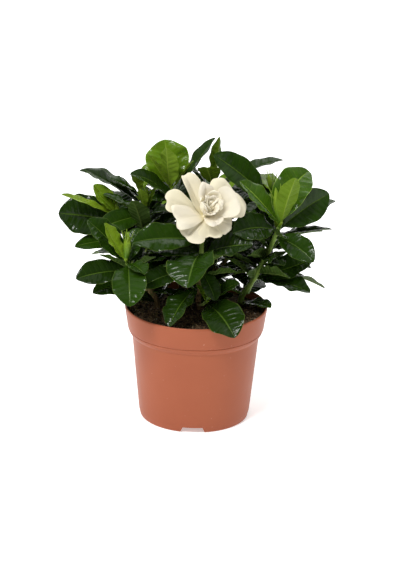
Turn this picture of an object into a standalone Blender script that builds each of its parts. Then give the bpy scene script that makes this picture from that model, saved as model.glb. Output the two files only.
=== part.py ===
"""Potted gardenia: a plastic nursery pot filled with soil, five leafy stems rooted in it as cuttings,
their young shoot tips with buds, and one open double bloom.

Every number below is in millimetres or degrees, measured from the centre of the pot's foot, with +Z up
and the bloom towards -Y. new_object turns millimetres into metres, and the last step moves everything
sideways together, so that the origin is the bottom centre of the whole plant's bounding box.
A leaf's heading is its direction seen from above (0 is +X, 90 is +Y), and its rise is the angle of the
straight line from its foot to its tip above the horizon.
"""

import math
import random

import bmesh
import bpy
from mathutils import Matrix, Vector
from mathutils.bvhtree import BVHTree

MM = 0.001
SEAT_GAP = 0.3  # between pieces that rest on or in each other

# Pot: the (radius, height) of its outer face, from the rim's top edge down to the foot
POT_OUTLINE = (
    (64.4, 106.0),  # rim's top edge
    (65.0, 104.8),  # rim at its widest
    (62.0, 85.0),  # rim's lower edge
    (60.4, 81.4),
    (58.0, 78.5),  # shoulder, where the slope under the rim meets the body
    (50.9, 6.0),
    (49.8, 1.0),
    (48.9, 0.0),  # foot
)
POT_HEIGHT = POT_OUTLINE[0][1]
POT_RIM_WIDE = POT_OUTLINE[1][1]
POT_RIM_LOW = POT_OUTLINE[2][1]
POT_FOOT_RADIUS = POT_OUTLINE[-1][0]
POT_WALL = 1.5
POT_INNER_SHOULDER = (56.5, 79.3)
POT_FOOT_WIDTH = 2.4  # the flat ring that the pot stands on
POT_SIDES = 32
FLOOR_HEIGHT = 5.2  # underside of the raised floor
FLOOR_THICKNESS = 1.6
NOTCH_COUNT = 4
NOTCH_WIDTHS = (24.0, 18.0)  # at the foot and at the top of a drainage notch
NOTCH_DEPTH = (41.8, 53.8)  # the radii between which a notch is cut
NOTCH_TURN = 269.0
DRAIN_HOLES = 6
DRAIN_RADIUS = 4.0
DRAIN_CIRCLE = 32.0
DRAIN_SIDES = 8

# Soil
SOIL_LEVEL = 98.5  # at the pot's wall
SOIL_MOUND = 4.0
SOIL_RINGS = 4
SOIL_ROUGHNESS = 0.9
HOLE_CLEARANCE = 0.6  # round each cutting's foot
HOLE_SIDES = 8

# Stems and leaves
STEM_SIDES = 5
STEM_SEGMENTS = (10, 6)  # along a cutting's first shoot, and along a fork
STEM_FOOT = 72.0  # how low a cutting reaches into the soil
STEM_STRAIGHT = 108.0  # a cutting stands upright in its hole up to here
LEAF_THICKNESS = 0.8
LEAF_STEPS = 24  # how finely a leaf's midrib is followed
PETIOLE_SHARE = 0.1  # of a leaf's length
PETIOLE_SINK = 0.2  # how far from the shoot's middle a stalk starts, as a share of the shoot's radius
PETIOLE_WIDTH = 2.2
PETIOLE_THICKNESS = 1.5
LEAF_SHARES = (0.0, 0.12, 0.33, 0.58, 0.82, 1.0)  # stations along a leaf
BLADE_START = 2  # the station where a leaf is clear of its shoot
LEAF_WIDEST = 0.5625  # of the blade's length
LEAF_CURVES = (0.9, 0.7)  # how fully the outline swells from the stalk, and how bluntly it ends
LEAF_FOLD = 0.3  # how steeply the two halves of a blade rise from the midrib
FOLD_START = 0.3  # the share of a leaf's length at which the fold is full
RIPPLE = 0.07  # a blade edge's wave, as a share of the blade's half width
RIPPLE_RATE = 13.0
TRIES = 120  # how often a leaf that would cross another piece is turned aside
TURN_STEP = 0.35  # degrees that each try may turn further
TIP_LEAF_LIFT = 2.1  # of a tip's young leaves above the end of its shoot
BUD_STALK = 6.0
BUD_SINK = 3.0  # how deep a bud sits in its stalk's length
BUD_SHAPE = ((0.3, 1.2, 0.09), (0.6, 1.0, 0.1), (0.85, 0.9, 0.04))  # share of its length, radius, and
BUD_POINT = 0.4  # what each millimetre of its length adds to that radius; and the radius at its end
BUD_SIDES = 5
LOBE_TURN = 20  # the heading of a bud's first calyx lobe
LOBE_RISE = 78
LOBE_SEAT = 0.12  # where lobes start and how long they are, as shares of the bud's length
LOBE_SHARE = 0.95
LOBE_REACH = (0.9, 0.8, 0.35)  # half widths of a lobe at its foot, middle and end
LOBE_BEND = 20

GREEN = ("gardenia_leaf", (0.022, 0.085, 0.016, 1), 0.28)
YOUNG_GREEN = ("young_leaf", (0.16, 0.32, 0.03, 1), 0.32)
IVORY = ("ivory_petal", (0.86, 0.80, 0.66, 1), 0.5)
TERRACOTTA = ("terracotta_plastic", (0.47, 0.14, 0.065, 1), 0.42)
PEAT = ("peat_soil", (0.024, 0.015, 0.011, 1), 0.95)


def leaf(heading, rise, length, width=0.5, bend=30, roll=0, twist=0, sway=0):
    """One leaf's placing. width is a share of length, and bend is how far the blade arches down."""
    return dict(heading=heading, rise=rise, length=length, width=width, bend=bend,
                roll=roll, twist=twist, sway=sway)


def whorl(at, *leaves):
    """Leaves that stand round a shoot at one share of its length."""
    return at, leaves


def ring(at, turn, count, rise, length, **more):
    """A whorl spaced evenly from its first leaf's heading, with a small seeded difference in each leaf."""
    draw = random.Random(f"{turn} {count} {rise} {length}")
    leaves = [leaf(turn + k * 360 / count + draw.uniform(-9, 9), rise + draw.uniform(-7, 7),
                   length * draw.uniform(0.92, 1.06), roll=draw.uniform(-12, 12), **more)
              for k in range(count)]
    return at, leaves


# Each cutting is one leafy stem. Its first shoot rises from the soil, and the others fork from it.
CUTTINGS = {
    "front_stem": [
        dict(foot=(2, -4), radius=(2.6, 1.9),
             path=[(2, -15, 124), (3, -25, 150), (4, -29, 170), (4, -30, 183)],
             whorls=[
                 whorl(0.53, leaf(238, -27, 55, 0.5, 44, 10)),
                 whorl(0.57, leaf(18, -22, 44, 0.45), leaf(130, -2, 46)),
                 whorl(0.70, leaf(196, -14, 57, 0.36, 30, -40), leaf(304, -42, 34, 0.5, 24, 10)),
                 whorl(0.84, leaf(256, -19, 53, 0.84, 70, 16), leaf(203, 10, 53, 0.32, 20, -40),
                       leaf(341, 17, 50, 0.54, 20, 34)),
                 whorl(0.95, leaf(200, 4, 65, 0.42, 22, -45), leaf(62, 12, 52)),
             ]),
        dict(path=[(2, -9, 110), (5, -22, 113), (9, -35, 121)], radius=(1.6, 1.2),
             whorls=[whorl(0.85, leaf(302, -18, 54, 0.66, 45, 18))]),
    ],
    "right_stem": [
        dict(foot=(41, 19), path=[(53, 12, 128), (64, -2, 158), (73, -12, 186)], radius=(2.9, 1.8),
             whorls=[
                 whorl(0.24, leaf(308, 4, 40, 0.46, 12)),
                 whorl(0.48, leaf(355, 22, 57, 0.44, -8, 40), leaf(208, 38, 42, 0.44, 20),
                       leaf(334, -3, 55, 0.42, 25, 20)),
                 whorl(0.58, leaf(18, -21, 71, 0.3, 24), leaf(192, 8, 44, 0.42)),
                 whorl(0.90, leaf(316, -14, 49, 0.46, 40, 40), leaf(24, 1, 57, 0.26, 14), leaf(130, 15, 50)),
                 whorl(0.965, leaf(28, 28, 59, 0.5, 20, 72), leaf(215, 7, 50, 0.56, 34, -45),
                       leaf(36, 18, 74, 0.3, 22)),
             ]),
        dict(path=[(46, 16, 112), (58, 34, 132), (68, 50, 152)], radius=(2.2, 1.6),
             whorls=[
                 ring(0.45, 20, 2, -5, 50),
                 ring(0.92, 0, 3, 14, 56),
             ]),
    ],
    "left_stem": [
        dict(foot=(-35, 3), path=[(-46, -4, 126), (-58, -26, 145), (-62, -44, 161)], radius=(2.9, 1.7),
             whorls=[
                 whorl(0.42, leaf(335, -4, 44, 0.44), leaf(150, -2, 46)),
                 whorl(0.55, leaf(214, 0, 54, 0.36, 24, -40)),
                 whorl(0.80, leaf(198, -3, 52, 0.46, 24, -46), leaf(40, 8, 44)),
                 whorl(0.96, leaf(188, 49, 55, 0.5, 16, -42), leaf(275, -34, 49, 0.62, 60, 4),
                       leaf(298, -11, 30, 0.6), leaf(62, 54, 34, 0.6)),
             ]),
        dict(path=[(-44, -2, 120), (-60, -4, 148), (-70, 0, 186)], radius=(2.2, 1.6),
             whorls=[
                 whorl(0.5, leaf(150, -8, 42, 0.46)),
                 whorl(0.72, leaf(205, 0, 49, 0.3, 20, -50), leaf(75, 10, 46)),
                 whorl(0.95, leaf(187, 10, 57, 0.66, 12, -58), leaf(95, 18, 52)),
             ]),
        dict(path=[(-44, -3, 122), (-46, 4, 158), (-47, 6, 192)], radius=(2.0, 1.6),
             whorls=[
                 whorl(0.62, leaf(247, 58, 54, 0.36, 10, 10), leaf(105, 20, 48), leaf(300, 12, 40, 0.42)),
                 whorl(0.84, leaf(193, 32, 50, 0.34, 30), leaf(30, 20, 44)),
                 whorl(0.95, leaf(217, 3, 50, 0.42, 20, -56), leaf(110, 30, 46)),
             ]),
    ],
    "back_left_stem": [
        dict(foot=(-12, 22), path=[(-14, 20, 140), (-16, 16, 178), (-24, 18, 208)], radius=(2.6, 1.7),
             whorls=[
                 ring(0.55, 70, 2, 0, 50),
                 whorl(0.84, leaf(211, 45, 70, 0.28, 54, -36), leaf(95, 20, 54)),
                 whorl(0.95, leaf(8, 57, 67, 0.3, 10, 10), leaf(140, 10, 40)),
             ]),
        dict(path=[(-13, 21, 120), (-34, 28, 158), (-52, 33, 199)], radius=(2.2, 1.6),
             whorls=[
                 ring(0.62, 120, 2, 5, 50),
                 whorl(0.86, leaf(203, 30, 76, 0.26, 8, -20)),
                 whorl(0.95, leaf(170, 21, 64, 0.34, 24, -6), leaf(222, 38, 46, 0.32, 20, -24)),
             ]),
        dict(path=[(-13, 22, 112), (-30, 50, 134), (-42, 74, 156)], radius=(2.2, 1.6),
             whorls=[
                 ring(0.45, 170, 2, -5, 52),
                 ring(0.92, 60, 3, 16, 58),
             ]),
    ],
    "back_right_stem": [
        dict(foot=(16, 34), path=[(14, 36, 140), (12, 39, 175), (12, 40, 206)], radius=(2.6, 1.7),
             whorls=[
                 ring(0.62, 100, 2, 0, 50),
                 whorl(0.80, leaf(165, 35, 50), leaf(330, 30, 48)),
                 whorl(0.95, leaf(9, 25, 73, 0.32, 32), leaf(110, 4, 52), leaf(195, 60, 46, 0.36)),
             ]),
        dict(path=[(15, 35, 124), (40, 34, 152), (58, 28, 182), (66, 25, 205)], radius=(2.0, 1.5),
             whorls=[
                 whorl(0.62, leaf(75, 5, 50)),
                 whorl(0.94, leaf(190, 38, 68, 0.41, 12, -60), leaf(40, 24, 46, 0.4), leaf(118, 18, 50)),
             ]),
        dict(path=[(15, 35, 114), (18, 60, 138), (22, 82, 162)], radius=(2.2, 1.6),
             whorls=[
                 ring(0.45, 30, 2, -5, 50),
                 ring(0.92, 40, 3, 18, 58),
             ]),
    ],
}

# Leaves of earlier cuttings keep their place, and those of later ones turn aside.
PLACING_ORDER = ("front_stem", "right_stem", "back_left_stem", "left_stem", "back_right_stem")

# A shoot tip stands on the end of one shoot: a bud in its calyx, with the young leaves round it.
TIPS = {
    "left_front_tip": dict(shoot=("left_stem", 0), bud=26, lobes=5, lean=(60, 84),
                           leaves=[leaf(183, 61, 40, 0.44, -12, -30)]),
    "left_outer_tip": dict(shoot=("left_stem", 1), bud=12, lobes=0, lean=(150, 70),
                           leaves=[leaf(168, 50, 37, 0.46, 8, -40), leaf(205, 28, 62, 0.18, 8, -18),
                                   leaf(192, 38, 32, 0.4, 8, -26)]),
    "left_upper_tip": dict(shoot=("left_stem", 2), bud=18, lobes=4, lean=(60, 85),
                           leaves=[leaf(240, 66, 24, 0.44, -10), leaf(20, 66, 22, 0.44, -10)]),
    "small_front_tip": dict(shoot=("front_stem", 1), bud=12, lobes=4, lean=(60, 70),
                            leaves=[leaf(20, 50, 20, 0.4, 10), leaf(150, 55, 18, 0.4, 10)]),
    "right_tip": dict(shoot=("right_stem", 0), bud=34, lobes=5, lean=(160, 80),
                      leaves=[leaf(300, 66, 55, 0.34, 12, -20), leaf(46, 50, 60, 0.54, 74, 30),
                              leaf(177, 47, 54, 0.44, 12, -24)]),
    "right_back_tip": dict(shoot=("right_stem", 1), bud=14, lobes=4, lean=(50, 75),
                           leaves=[leaf(70, 48, 42, 0.46, 10), leaf(250, 60, 34, 0.46, 10)]),
    "back_left_tip": dict(shoot=("back_left_stem", 0), bud=14, lobes=0, lean=(90, 86),
                          leaves=[leaf(112, 65, 45, 0.88, 2, -20), leaf(235, 79, 41, 0.5, -14),
                                  leaf(335, 68, 37, 0.24, 6), leaf(210, 62, 44, 0.3, 6)]),
    "back_left_inner_tip": dict(shoot=("back_left_stem", 1), bud=10, lobes=0, lean=(120, 80),
                                leaves=[leaf(60, 50, 32, 0.46, 10), leaf(240, 60, 26, 0.46, 10)]),
    "back_left_outer_tip": dict(shoot=("back_left_stem", 2), bud=20, lobes=5, lean=(120, 78),
                                leaves=[leaf(60, 50, 46, 0.46, 10), leaf(230, 55, 40, 0.46, 10)]),
    "back_right_tip": dict(shoot=("back_right_stem", 0), bud=26, lobes=5, lean=(20, 84),
                           leaves=[leaf(352, 83, 46, 0.38, -6, -25), leaf(263, 35, 49, 0.42, 10, 4)]),
    "right_upper_tip": dict(shoot=("back_right_stem", 1), bud=20, lobes=5, lean=(240, 62),
                            leaves=[leaf(100, 8, 38, 0.46, 10)]),
    "back_tip": dict(shoot=("back_right_stem", 2), bud=14, lobes=4, lean=(90, 75),
                     leaves=[leaf(80, 46, 46, 0.48, 10), leaf(260, 56, 36, 0.46, 10)]),
}

# The open bloom, on the end of the front stem's first shoot
BLOOM_HEADING = 292
BLOOM_RISE = 42
CALYX_LENGTH = 9.0
CALYX_RADIUS = 3.6
CALYX_LOBES = 5
CALYX_LOBE = dict(first=40, rise=-4, length=15, out=2.0, down=3.0)
TUBE_LENGTH = 7.2
TUBE_RADII = (2.6, 3.6)
PETAL_THICKNESS = 0.9
PETAL_SHARES = (0.0, 0.3, 0.6, 0.86, 1.0)
PETAL_ACROSS = (-1.0, -0.4, 0.4, 1.0)
PETAL_WAVE = 0.06  # as a share of a petal's half width
PETAL_FOOT = 0.12  # half widths at a petal's foot and at its end, as shares of its widest
PETAL_END = 0.5
PETAL_SEAT = (4.8, 3.6)  # how far the petals start along the shoot and along the bloom's axis
HEART_SINK = 4.0
HEART_SHAPE = ((0, 2.4), (4, 4.2), (10, 3.6), (18, 1.4))  # (distance along the axis, radius)
BLOOM_SIDES = 8


def petal(clock, opens, length, width, cup=0.1, lift=0.0, roll=6.0):
    """One petal. clock is its direction seen from in front (0 is right, 90 up), and opens is how far it
    leans out from the bloom's axis at its foot and at its tip."""
    return dict(clock=clock, opens=opens, length=length, width=width, cup=cup, lift=lift, roll=roll)


PETALS = [
    # outer whorl
    petal(150, (58, 92), 42, 25), petal(113, (50, 80), 43, 22, 0.35, 1.0),
    petal(45, (58, 90), 42, 25), petal(10, (60, 92), 42, 23, 0.05, 1.0),
    petal(332, (62, 96), 27, 20), petal(264, (58, 92), 24, 25, 0.1, 1.0),
    petal(221, (58, 92), 33, 27, 0.05),
    # second whorl
    petal(189, (54, 82), 38, 29, 0.15, 2.0), petal(10, (30, 60), 36, 30, 0.5, 3.0),
    petal(90, (34, 58), 32, 18, 0.4, 3.0), petal(282, (30, 54), 24, 16, 0.3, 3.0),
    # heart
    petal(40, (8, 30), 27, 16, 0.65, 4.0), petal(148, (10, 30), 26, 15, 0.6, 4.0),
    petal(255, (10, 28), 22, 14, 0.6, 4.0), petal(330, (6, 20), 24, 12, 0.7, 4.0),
]

taken = []  # what is already placed: (node, search tree of the whole piece, tree of its blade or None)


def clear_scene():
    for obj in list(bpy.data.objects):
        bpy.data.objects.remove(obj)


def material(look):
    name, colour, roughness = look
    if name in bpy.data.materials:
        return bpy.data.materials[name]
    made = bpy.data.materials.new(name)
    made.use_nodes = True
    made.diffuse_color = colour
    shader = made.node_tree.nodes["Principled BSDF"]
    shader.inputs["Base Color"].default_value = colour
    shader.inputs["Roughness"].default_value = roughness
    return made


def new_object(name, points, faces, look=None):
    """A mesh object from points in millimetres, with its faces turned to point outwards."""
    mesh = bpy.data.meshes.new(name)
    mesh.from_pydata([Vector(p) * MM for p in points], [], faces)
    shape = bmesh.new()
    shape.from_mesh(mesh)
    bmesh.ops.recalc_face_normals(shape, faces=shape.faces)
    shape.to_mesh(mesh)
    shape.free()
    obj = bpy.data.objects.new(name, mesh)
    bpy.context.scene.collection.objects.link(obj)
    if look:
        mesh.materials.append(material(look))
    return obj


def turned(name, profile, sides, look):
    """A solid turned round Z from (radius, height) points that start and end on the axis, at radius 0."""
    rings = []
    points = []
    for radius, height in profile:
        if radius == 0:
            rings.append([len(points)] * sides)
            points.append((0, 0, height))
            continue
        rings.append(list(range(len(points), len(points) + sides)))
        points += [(radius * math.cos(a), radius * math.sin(a), height)
                   for a in (2 * math.pi * k / sides for k in range(sides))]
    faces = []
    for low, high in zip(rings, rings[1:]):
        for k in range(sides):
            after = (k + 1) % sides
            corners = [low[k], low[after], high[after], high[k]]
            face = [c for i, c in enumerate(corners) if c not in corners[:i]]
            if len(face) > 2:
                faces.append(face)
    return new_object(name, points, faces, look)


def join(obj, others, operation="UNION"):
    """One Boolean of a whole group of objects on obj, applied, with the group then removed."""
    group = bpy.data.collections.new("joined")
    for other in others:
        group.objects.link(other)
    cut = obj.modifiers.new("join", "BOOLEAN")
    cut.operation = operation
    cut.operand_type = "COLLECTION"
    cut.collection = group
    cut.solver = "MANIFOLD"
    graph = bpy.context.evaluated_depsgraph_get()
    result = bpy.data.meshes.new_from_object(obj.evaluated_get(graph))
    obj.modifiers.remove(cut)
    obj.data = result
    for other in others:
        bpy.data.objects.remove(other)
    bpy.data.collections.remove(group)
    keep_main_body(obj)
    return obj


def keep_main_body(obj):
    """Fill the hollows that joining sealed, and drop loose scraps: only the largest closed skin stays."""
    shape = bmesh.new()
    shape.from_mesh(obj.data)
    unseen = set(shape.faces)
    skins = []
    while unseen:
        skin = [unseen.pop()]
        for face in skin:
            for edge in face.edges:
                for near in edge.link_faces:
                    if near in unseen:
                        unseen.remove(near)
                        skin.append(near)
        skins.append(skin)
    skins.sort(key=lambda skin: sum(face.calc_area() for face in skin))
    spare = [face for skin in skins[:-1] for face in skin]
    bmesh.ops.delete(shape, geom=spare, context="FACES")
    shape.to_mesh(obj.data)
    shape.free()


def box_between(name, low, high, widths):
    """A block from low to high along X, whose width in Y tapers from widths[0] at the foot to widths[1]."""
    (x0, z0), (x1, z1) = low, high
    bottom, top = widths[0] / 2, widths[1] / 2
    points = [(x0, -bottom, z0), (x1, -bottom, z0), (x1, bottom, z0), (x0, bottom, z0),
              (x0, -top, z1), (x1, -top, z1), (x1, top, z1), (x0, top, z1)]
    faces = [(0, 1, 2, 3), (4, 5, 6, 7), (0, 1, 5, 4), (1, 2, 6, 5), (2, 3, 7, 6), (3, 0, 4, 7)]
    return new_object(name, points, faces)


def cylinder(name, centre, radius, low, high, sides):
    points = []
    for height in (low, high):
        points += [(centre[0] + radius * math.cos(a), centre[1] + radius * math.sin(a), height)
                   for a in (2 * math.pi * k / sides for k in range(sides))]
    faces = [tuple(range(sides)), tuple(range(sides, 2 * sides))]
    faces += [(k, (k + 1) % sides, sides + (k + 1) % sides, sides + k) for k in range(sides)]
    return new_object(name, points, faces)


def inner_radius(height):
    """The radius of the pot's inner face at a height."""
    for (high_radius, high), (low_radius, low) in zip(POT_OUTLINE, POT_OUTLINE[1:]):
        if low <= height <= high:
            return low_radius + (high_radius - low_radius) * (height - low) / (high - low) - POT_WALL


def inner_face(low, high, gap=0.0):
    """(radius, height) points up the pot's inner face from low to high, set in by a gap."""
    points = [(inner_radius(low), low), POT_INNER_SHOULDER, (inner_radius(POT_RIM_LOW), POT_RIM_LOW),
              (inner_radius(high), high)]
    return [(radius - gap, height) for radius, height in points]


def make_pot():
    floor_top = FLOOR_HEIGHT + FLOOR_THICKNESS
    inside = [(0, floor_top)] + inner_face(floor_top, POT_RIM_WIDE) + [(inner_radius(POT_RIM_WIDE), POT_HEIGHT)]
    underside = [(POT_FOOT_RADIUS - POT_FOOT_WIDTH, 0), (inner_radius(FLOOR_HEIGHT), FLOOR_HEIGHT),
                 (0, FLOOR_HEIGHT)]
    pot = turned("pot", inside + list(POT_OUTLINE) + underside, POT_SIDES, TERRACOTTA)
    cutters = []
    for k in range(NOTCH_COUNT):
        notch = box_between("notch", (NOTCH_DEPTH[0], -2), (NOTCH_DEPTH[1], FLOOR_HEIGHT), NOTCH_WIDTHS)
        notch.data.transform(Matrix.Rotation(math.radians(NOTCH_TURN + k * 360 / NOTCH_COUNT), 4, "Z"))
        cutters.append(notch)
    for k in range(DRAIN_HOLES):
        angle = 2 * math.pi * k / DRAIN_HOLES
        centre = (DRAIN_CIRCLE * math.cos(angle), DRAIN_CIRCLE * math.sin(angle))
        cutters.append(cylinder("drain", centre, DRAIN_RADIUS, FLOOR_HEIGHT - 3, floor_top + 3, DRAIN_SIDES))
    return join(pot, cutters, "DIFFERENCE")


def soil_height(radius, edge):
    """The soil's mound: highest at the centre, and falling to SOIL_LEVEL at the wall."""
    return SOIL_LEVEL + SOIL_MOUND * math.cos(min(1, radius / edge) * math.pi / 2)


def make_soil():
    draw = random.Random(4)
    floor_top = FLOOR_HEIGHT + FLOOR_THICKNESS + SEAT_GAP
    profile = [(0, floor_top)] + inner_face(floor_top, SOIL_LEVEL, SEAT_GAP)
    edge = profile[-1][0]
    for k in range(1, SOIL_RINGS + 1):
        radius = edge * (1 - k / SOIL_RINGS)
        profile.append((radius if k < SOIL_RINGS else 0, soil_height(radius, edge)))
    soil = turned("soil", profile, POT_SIDES, PEAT)
    for vertex in soil.data.vertices:
        if vertex.co.z > (SOIL_LEVEL + 0.2) * MM:
            vertex.co.z += draw.uniform(-SOIL_ROUGHNESS, SOIL_ROUGHNESS) * MM
    holes = []
    for shoots in CUTTINGS.values():
        stem = shoots[0]
        radius = stem["radius"][0] + HOLE_CLEARANCE
        holes.append(cylinder("hole", stem["foot"], radius, STEM_FOOT - SEAT_GAP, POT_HEIGHT, HOLE_SIDES))
    return join(soil, holes, "DIFFERENCE")


def smooth_line(points, rounds=2):
    """A smooth line through the corners of a path, by cutting each corner off twice."""
    line = [Vector(p) for p in points]
    for _ in range(rounds):
        cut = [line[0]]
        for a, b in zip(line, line[1:]):
            cut += [a.lerp(b, 0.25), a.lerp(b, 0.75)]
        line = cut + [line[-1]]
    return line


def along(line, share):
    """The point and direction at a share of a line's length."""
    lengths = [(b - a).length for a, b in zip(line, line[1:])]
    left = share * sum(lengths)
    for a, b, length in zip(line, line[1:], lengths):
        if left <= length:
            return a.lerp(b, left / length), (b - a).normalized()
        left -= length
    return line[-1], (line[-1] - line[-2]).normalized()


def shoot_line(shoot):
    if "foot" not in shoot:
        return smooth_line(shoot["path"])
    x, y = shoot["foot"]
    upright = [(x, y, STEM_STRAIGHT - 8), (x, y, STEM_STRAIGHT)]
    return [Vector((x, y, STEM_FOOT))] + smooth_line(upright + shoot["path"])


def tube(name, line, radii, sides, segments):
    """A round rod along a line, tapering from the first radius to the second, closed at both ends."""
    points = []
    side = Vector((-1, -0.2, -0.1))
    for k in range(segments + 1):
        share = k / segments
        centre, direction = along(line, share)
        side = direction.cross(side.cross(direction)).normalized()
        other = direction.cross(side)
        radius = radii[0] + (radii[1] - radii[0]) * share
        for j in range(sides):
            angle = 2 * math.pi * j / sides
            points.append(centre + (side * math.cos(angle) + other * math.sin(angle)) * radius)
    faces = [tuple(range(sides)), tuple(range(segments * sides, (segments + 1) * sides))]
    for k in range(segments):
        for j in range(sides):
            after = (j + 1) % sides
            faces.append((k * sides + j, k * sides + after, (k + 1) * sides + after, (k + 1) * sides + j))
    return new_object(name, points, faces)


def direction_of(heading, rise):
    h, r = math.radians(heading), math.radians(rise)
    return Vector((math.cos(h) * math.cos(r), math.sin(h) * math.cos(r), math.sin(r)))


def leaf_frames(foot, leaf, shares):
    """The midrib's point and the blade's sideways and upward directions at each share of a leaf's length."""
    centres = [Vector(foot)]
    for k in range(LEAF_STEPS):
        share = (k + 0.5) / LEAF_STEPS
        forward = direction_of(leaf["heading"] + leaf["sway"] * (share - 0.5),
                               leaf["rise"] + leaf["bend"] * (0.5 - share))
        centres.append(centres[-1] + forward * (leaf["length"] / LEAF_STEPS))
    frames = []
    for share in shares:
        k = min(int(share * LEAF_STEPS), LEAF_STEPS - 1)
        centre = centres[k].lerp(centres[k + 1], share * LEAF_STEPS - k)
        heading = leaf["heading"] + leaf["sway"] * (share - 0.5)
        rise = leaf["rise"] + leaf["bend"] * (0.5 - share)
        forward = direction_of(heading, rise)
        side = direction_of(heading + 90, 0)
        up = forward.cross(side)
        roll = math.radians(leaf["roll"] + leaf["twist"] * (share - 0.5))
        frames.append((centre, side * math.cos(roll) + up * math.sin(roll),
                       up * math.cos(roll) - side * math.sin(roll)))
    return frames


def blade_profile(share):
    """A leaf's half width at a share of its length, as a share of its widest."""
    swell, end = LEAF_CURVES
    along_blade = max(0.0, (share - PETIOLE_SHARE) / (1 - PETIOLE_SHARE))
    return (along_blade / LEAF_WIDEST) ** swell * ((1 - along_blade) / (1 - LEAF_WIDEST)) ** end


def leaf_mesh(foot, leaf, first=0, extra=0.0):
    """Points and faces of a leaf: one thin folded solid with a stalk, a waved edge and a pointed tip.
    It starts at the station first, and is thicker and wider all round by extra."""
    frames = leaf_frames(foot, leaf, LEAF_SHARES)[first:]
    shares = LEAF_SHARES[first:]
    half = leaf["length"] * leaf["width"] / 2
    points = []
    for share, (centre, side, up) in zip(shares[:-1], frames):
        on_stalk = share <= LEAF_SHARES[1]
        reach = PETIOLE_WIDTH / 2 if on_stalk else half * blade_profile(share)
        fold = LEAF_FOLD * reach * min(1.0, share / FOLD_START)
        ripple = RIPPLE * reach * math.sin(share * RIPPLE_RATE + leaf["length"])
        thick = (PETIOLE_THICKNESS if on_stalk else LEAF_THICKNESS) / 2 + extra
        for lift in (thick, -thick):
            points += [centre + side * ((reach + extra) * v) + up * (fold * abs(v) + ripple * v + lift)
                       for v in (-1, 0, 1)]
    tip, _, up = frames[-1]
    top = len(points)
    points += [tip + up * (LEAF_THICKNESS / 2 + extra), tip - up * (LEAF_THICKNESS / 2 + extra)]
    faces = [(0, 1, 4, 3), (1, 2, 5, 4)]
    for a in range(0, top - 6, 6):
        b = a + 6
        for j in (0, 1):
            faces += [(a + j, a + j + 1, b + j + 1, b + j), (a + 3 + j, a + 4 + j, b + 4 + j, b + 3 + j)]
        faces += [(a, a + 3, b + 3, b), (a + 2, a + 5, b + 5, b + 2)]
    a = top - 6
    faces += [(a, a + 1, top), (a + 1, a + 2, top), (a + 3, a + 4, top + 1), (a + 4, a + 5, top + 1),
              (a, a + 3, top + 1, top), (a + 2, a + 5, top + 1, top)]
    return points, alike(faces)


def alike(faces):
    """Every four-cornered face cut into triangles along the same corners, on both faces of a blade."""
    cut = []
    for face in faces:
        cut += [face[:3], (face[0], face[2], face[3])] if len(face) == 4 else [face]
    return cut


def search_tree(points, faces):
    return BVHTree.FromPolygons([Vector(p) for p in points], faces)


def take(node, obj):
    """Note that a finished object's place is taken. Leaves of its own node may touch it."""
    points = [vertex.co / MM for vertex in obj.data.vertices]
    taken.append((node, search_tree(points, [tuple(face.vertices) for face in obj.data.polygons]), None))


def is_clear(node, whole, blade):
    """Whether a leaf clears all other nodes, and its blade clears the blades of its own node."""
    for owner, other_whole, other_blade in taken:
        if owner != node and whole.overlap(other_whole):
            return False
        if owner == node and other_blade and blade.overlap(other_blade):
            return False
    return True


def place_leaf(node, number, centre, radius, wanted):
    """A wanted leaf as an object, turned a little further each try until it is clear of what is placed.
    Its stalk starts inside the shoot, on the side that the leaf points to. None where there is no room."""
    draw = random.Random(f"{node} {number}")
    for attempt in range(TRIES):
        turn = attempt * TURN_STEP
        one = dict(wanted, heading=wanted["heading"] + draw.uniform(-turn, turn),
                   rise=wanted["rise"] + draw.uniform(-turn, turn),
                   roll=wanted["roll"] + draw.uniform(-turn, turn))
        foot = centre + direction_of(one["heading"], 0) * (radius * PETIOLE_SINK)
        whole = search_tree(*leaf_mesh(foot, one, 0, SEAT_GAP))
        blade = search_tree(*leaf_mesh(foot, one, BLADE_START, SEAT_GAP))
        if is_clear(node, whole, blade):
            taken.append((node, whole, blade))
            return new_object("leaf", *leaf_mesh(foot, one))
    return None


def make_rods(name):
    """The shoots of one cutting, as rods that are not joined yet."""
    rods = []
    for number, shoot in enumerate(CUTTINGS[name]):
        rod = tube(name, shoot_line(shoot), shoot["radius"], STEM_SIDES, STEM_SEGMENTS[min(number, 1)])
        take(name, rod)
        rods.append(rod)
    return rods


def make_stem(name, rods):
    """One leafy stem: the leaves of its shoots are placed one by one and joined to its rods."""
    leaves = []
    number = 0
    for shoot in CUTTINGS[name]:
        line = shoot_line(shoot)
        radii = shoot["radius"]
        for share, whorl_leaves in shoot["whorls"]:
            radius = radii[0] + (radii[1] - radii[0]) * share
            centre = along(line, share)[0]
            for wanted in whorl_leaves:
                leaves.append(place_leaf(name, number, centre, radius, wanted))
                number += 1
    join(rods[0], rods[1:] + [one for one in leaves if one])
    finish(rods[0], name, GREEN)


def finish(obj, name, look):
    obj.name = name
    obj.data.materials.clear()
    obj.data.materials.append(material(look))


def spindle(name, foot, axis, profile, sides):
    """A turned body of (distance along the axis, radius) points, which may end in a point."""
    side = axis.cross(Vector((0.3, 0.5, 1))).normalized()
    other = axis.cross(side)
    points = []
    faces = []
    for k, (far, radius) in enumerate(profile):
        for j in range(sides):
            angle = 2 * math.pi * j / sides
            points.append(foot + axis * far + (side * math.cos(angle) + other * math.sin(angle)) * radius)
        if k:
            for j in range(sides):
                after = (j + 1) % sides
                faces.append(((k - 1) * sides + j, (k - 1) * sides + after, k * sides + after, k * sides + j))
    faces += [tuple(range(sides)), tuple(range(len(points) - sides, len(points)))]
    return new_object(name, points, faces)


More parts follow.
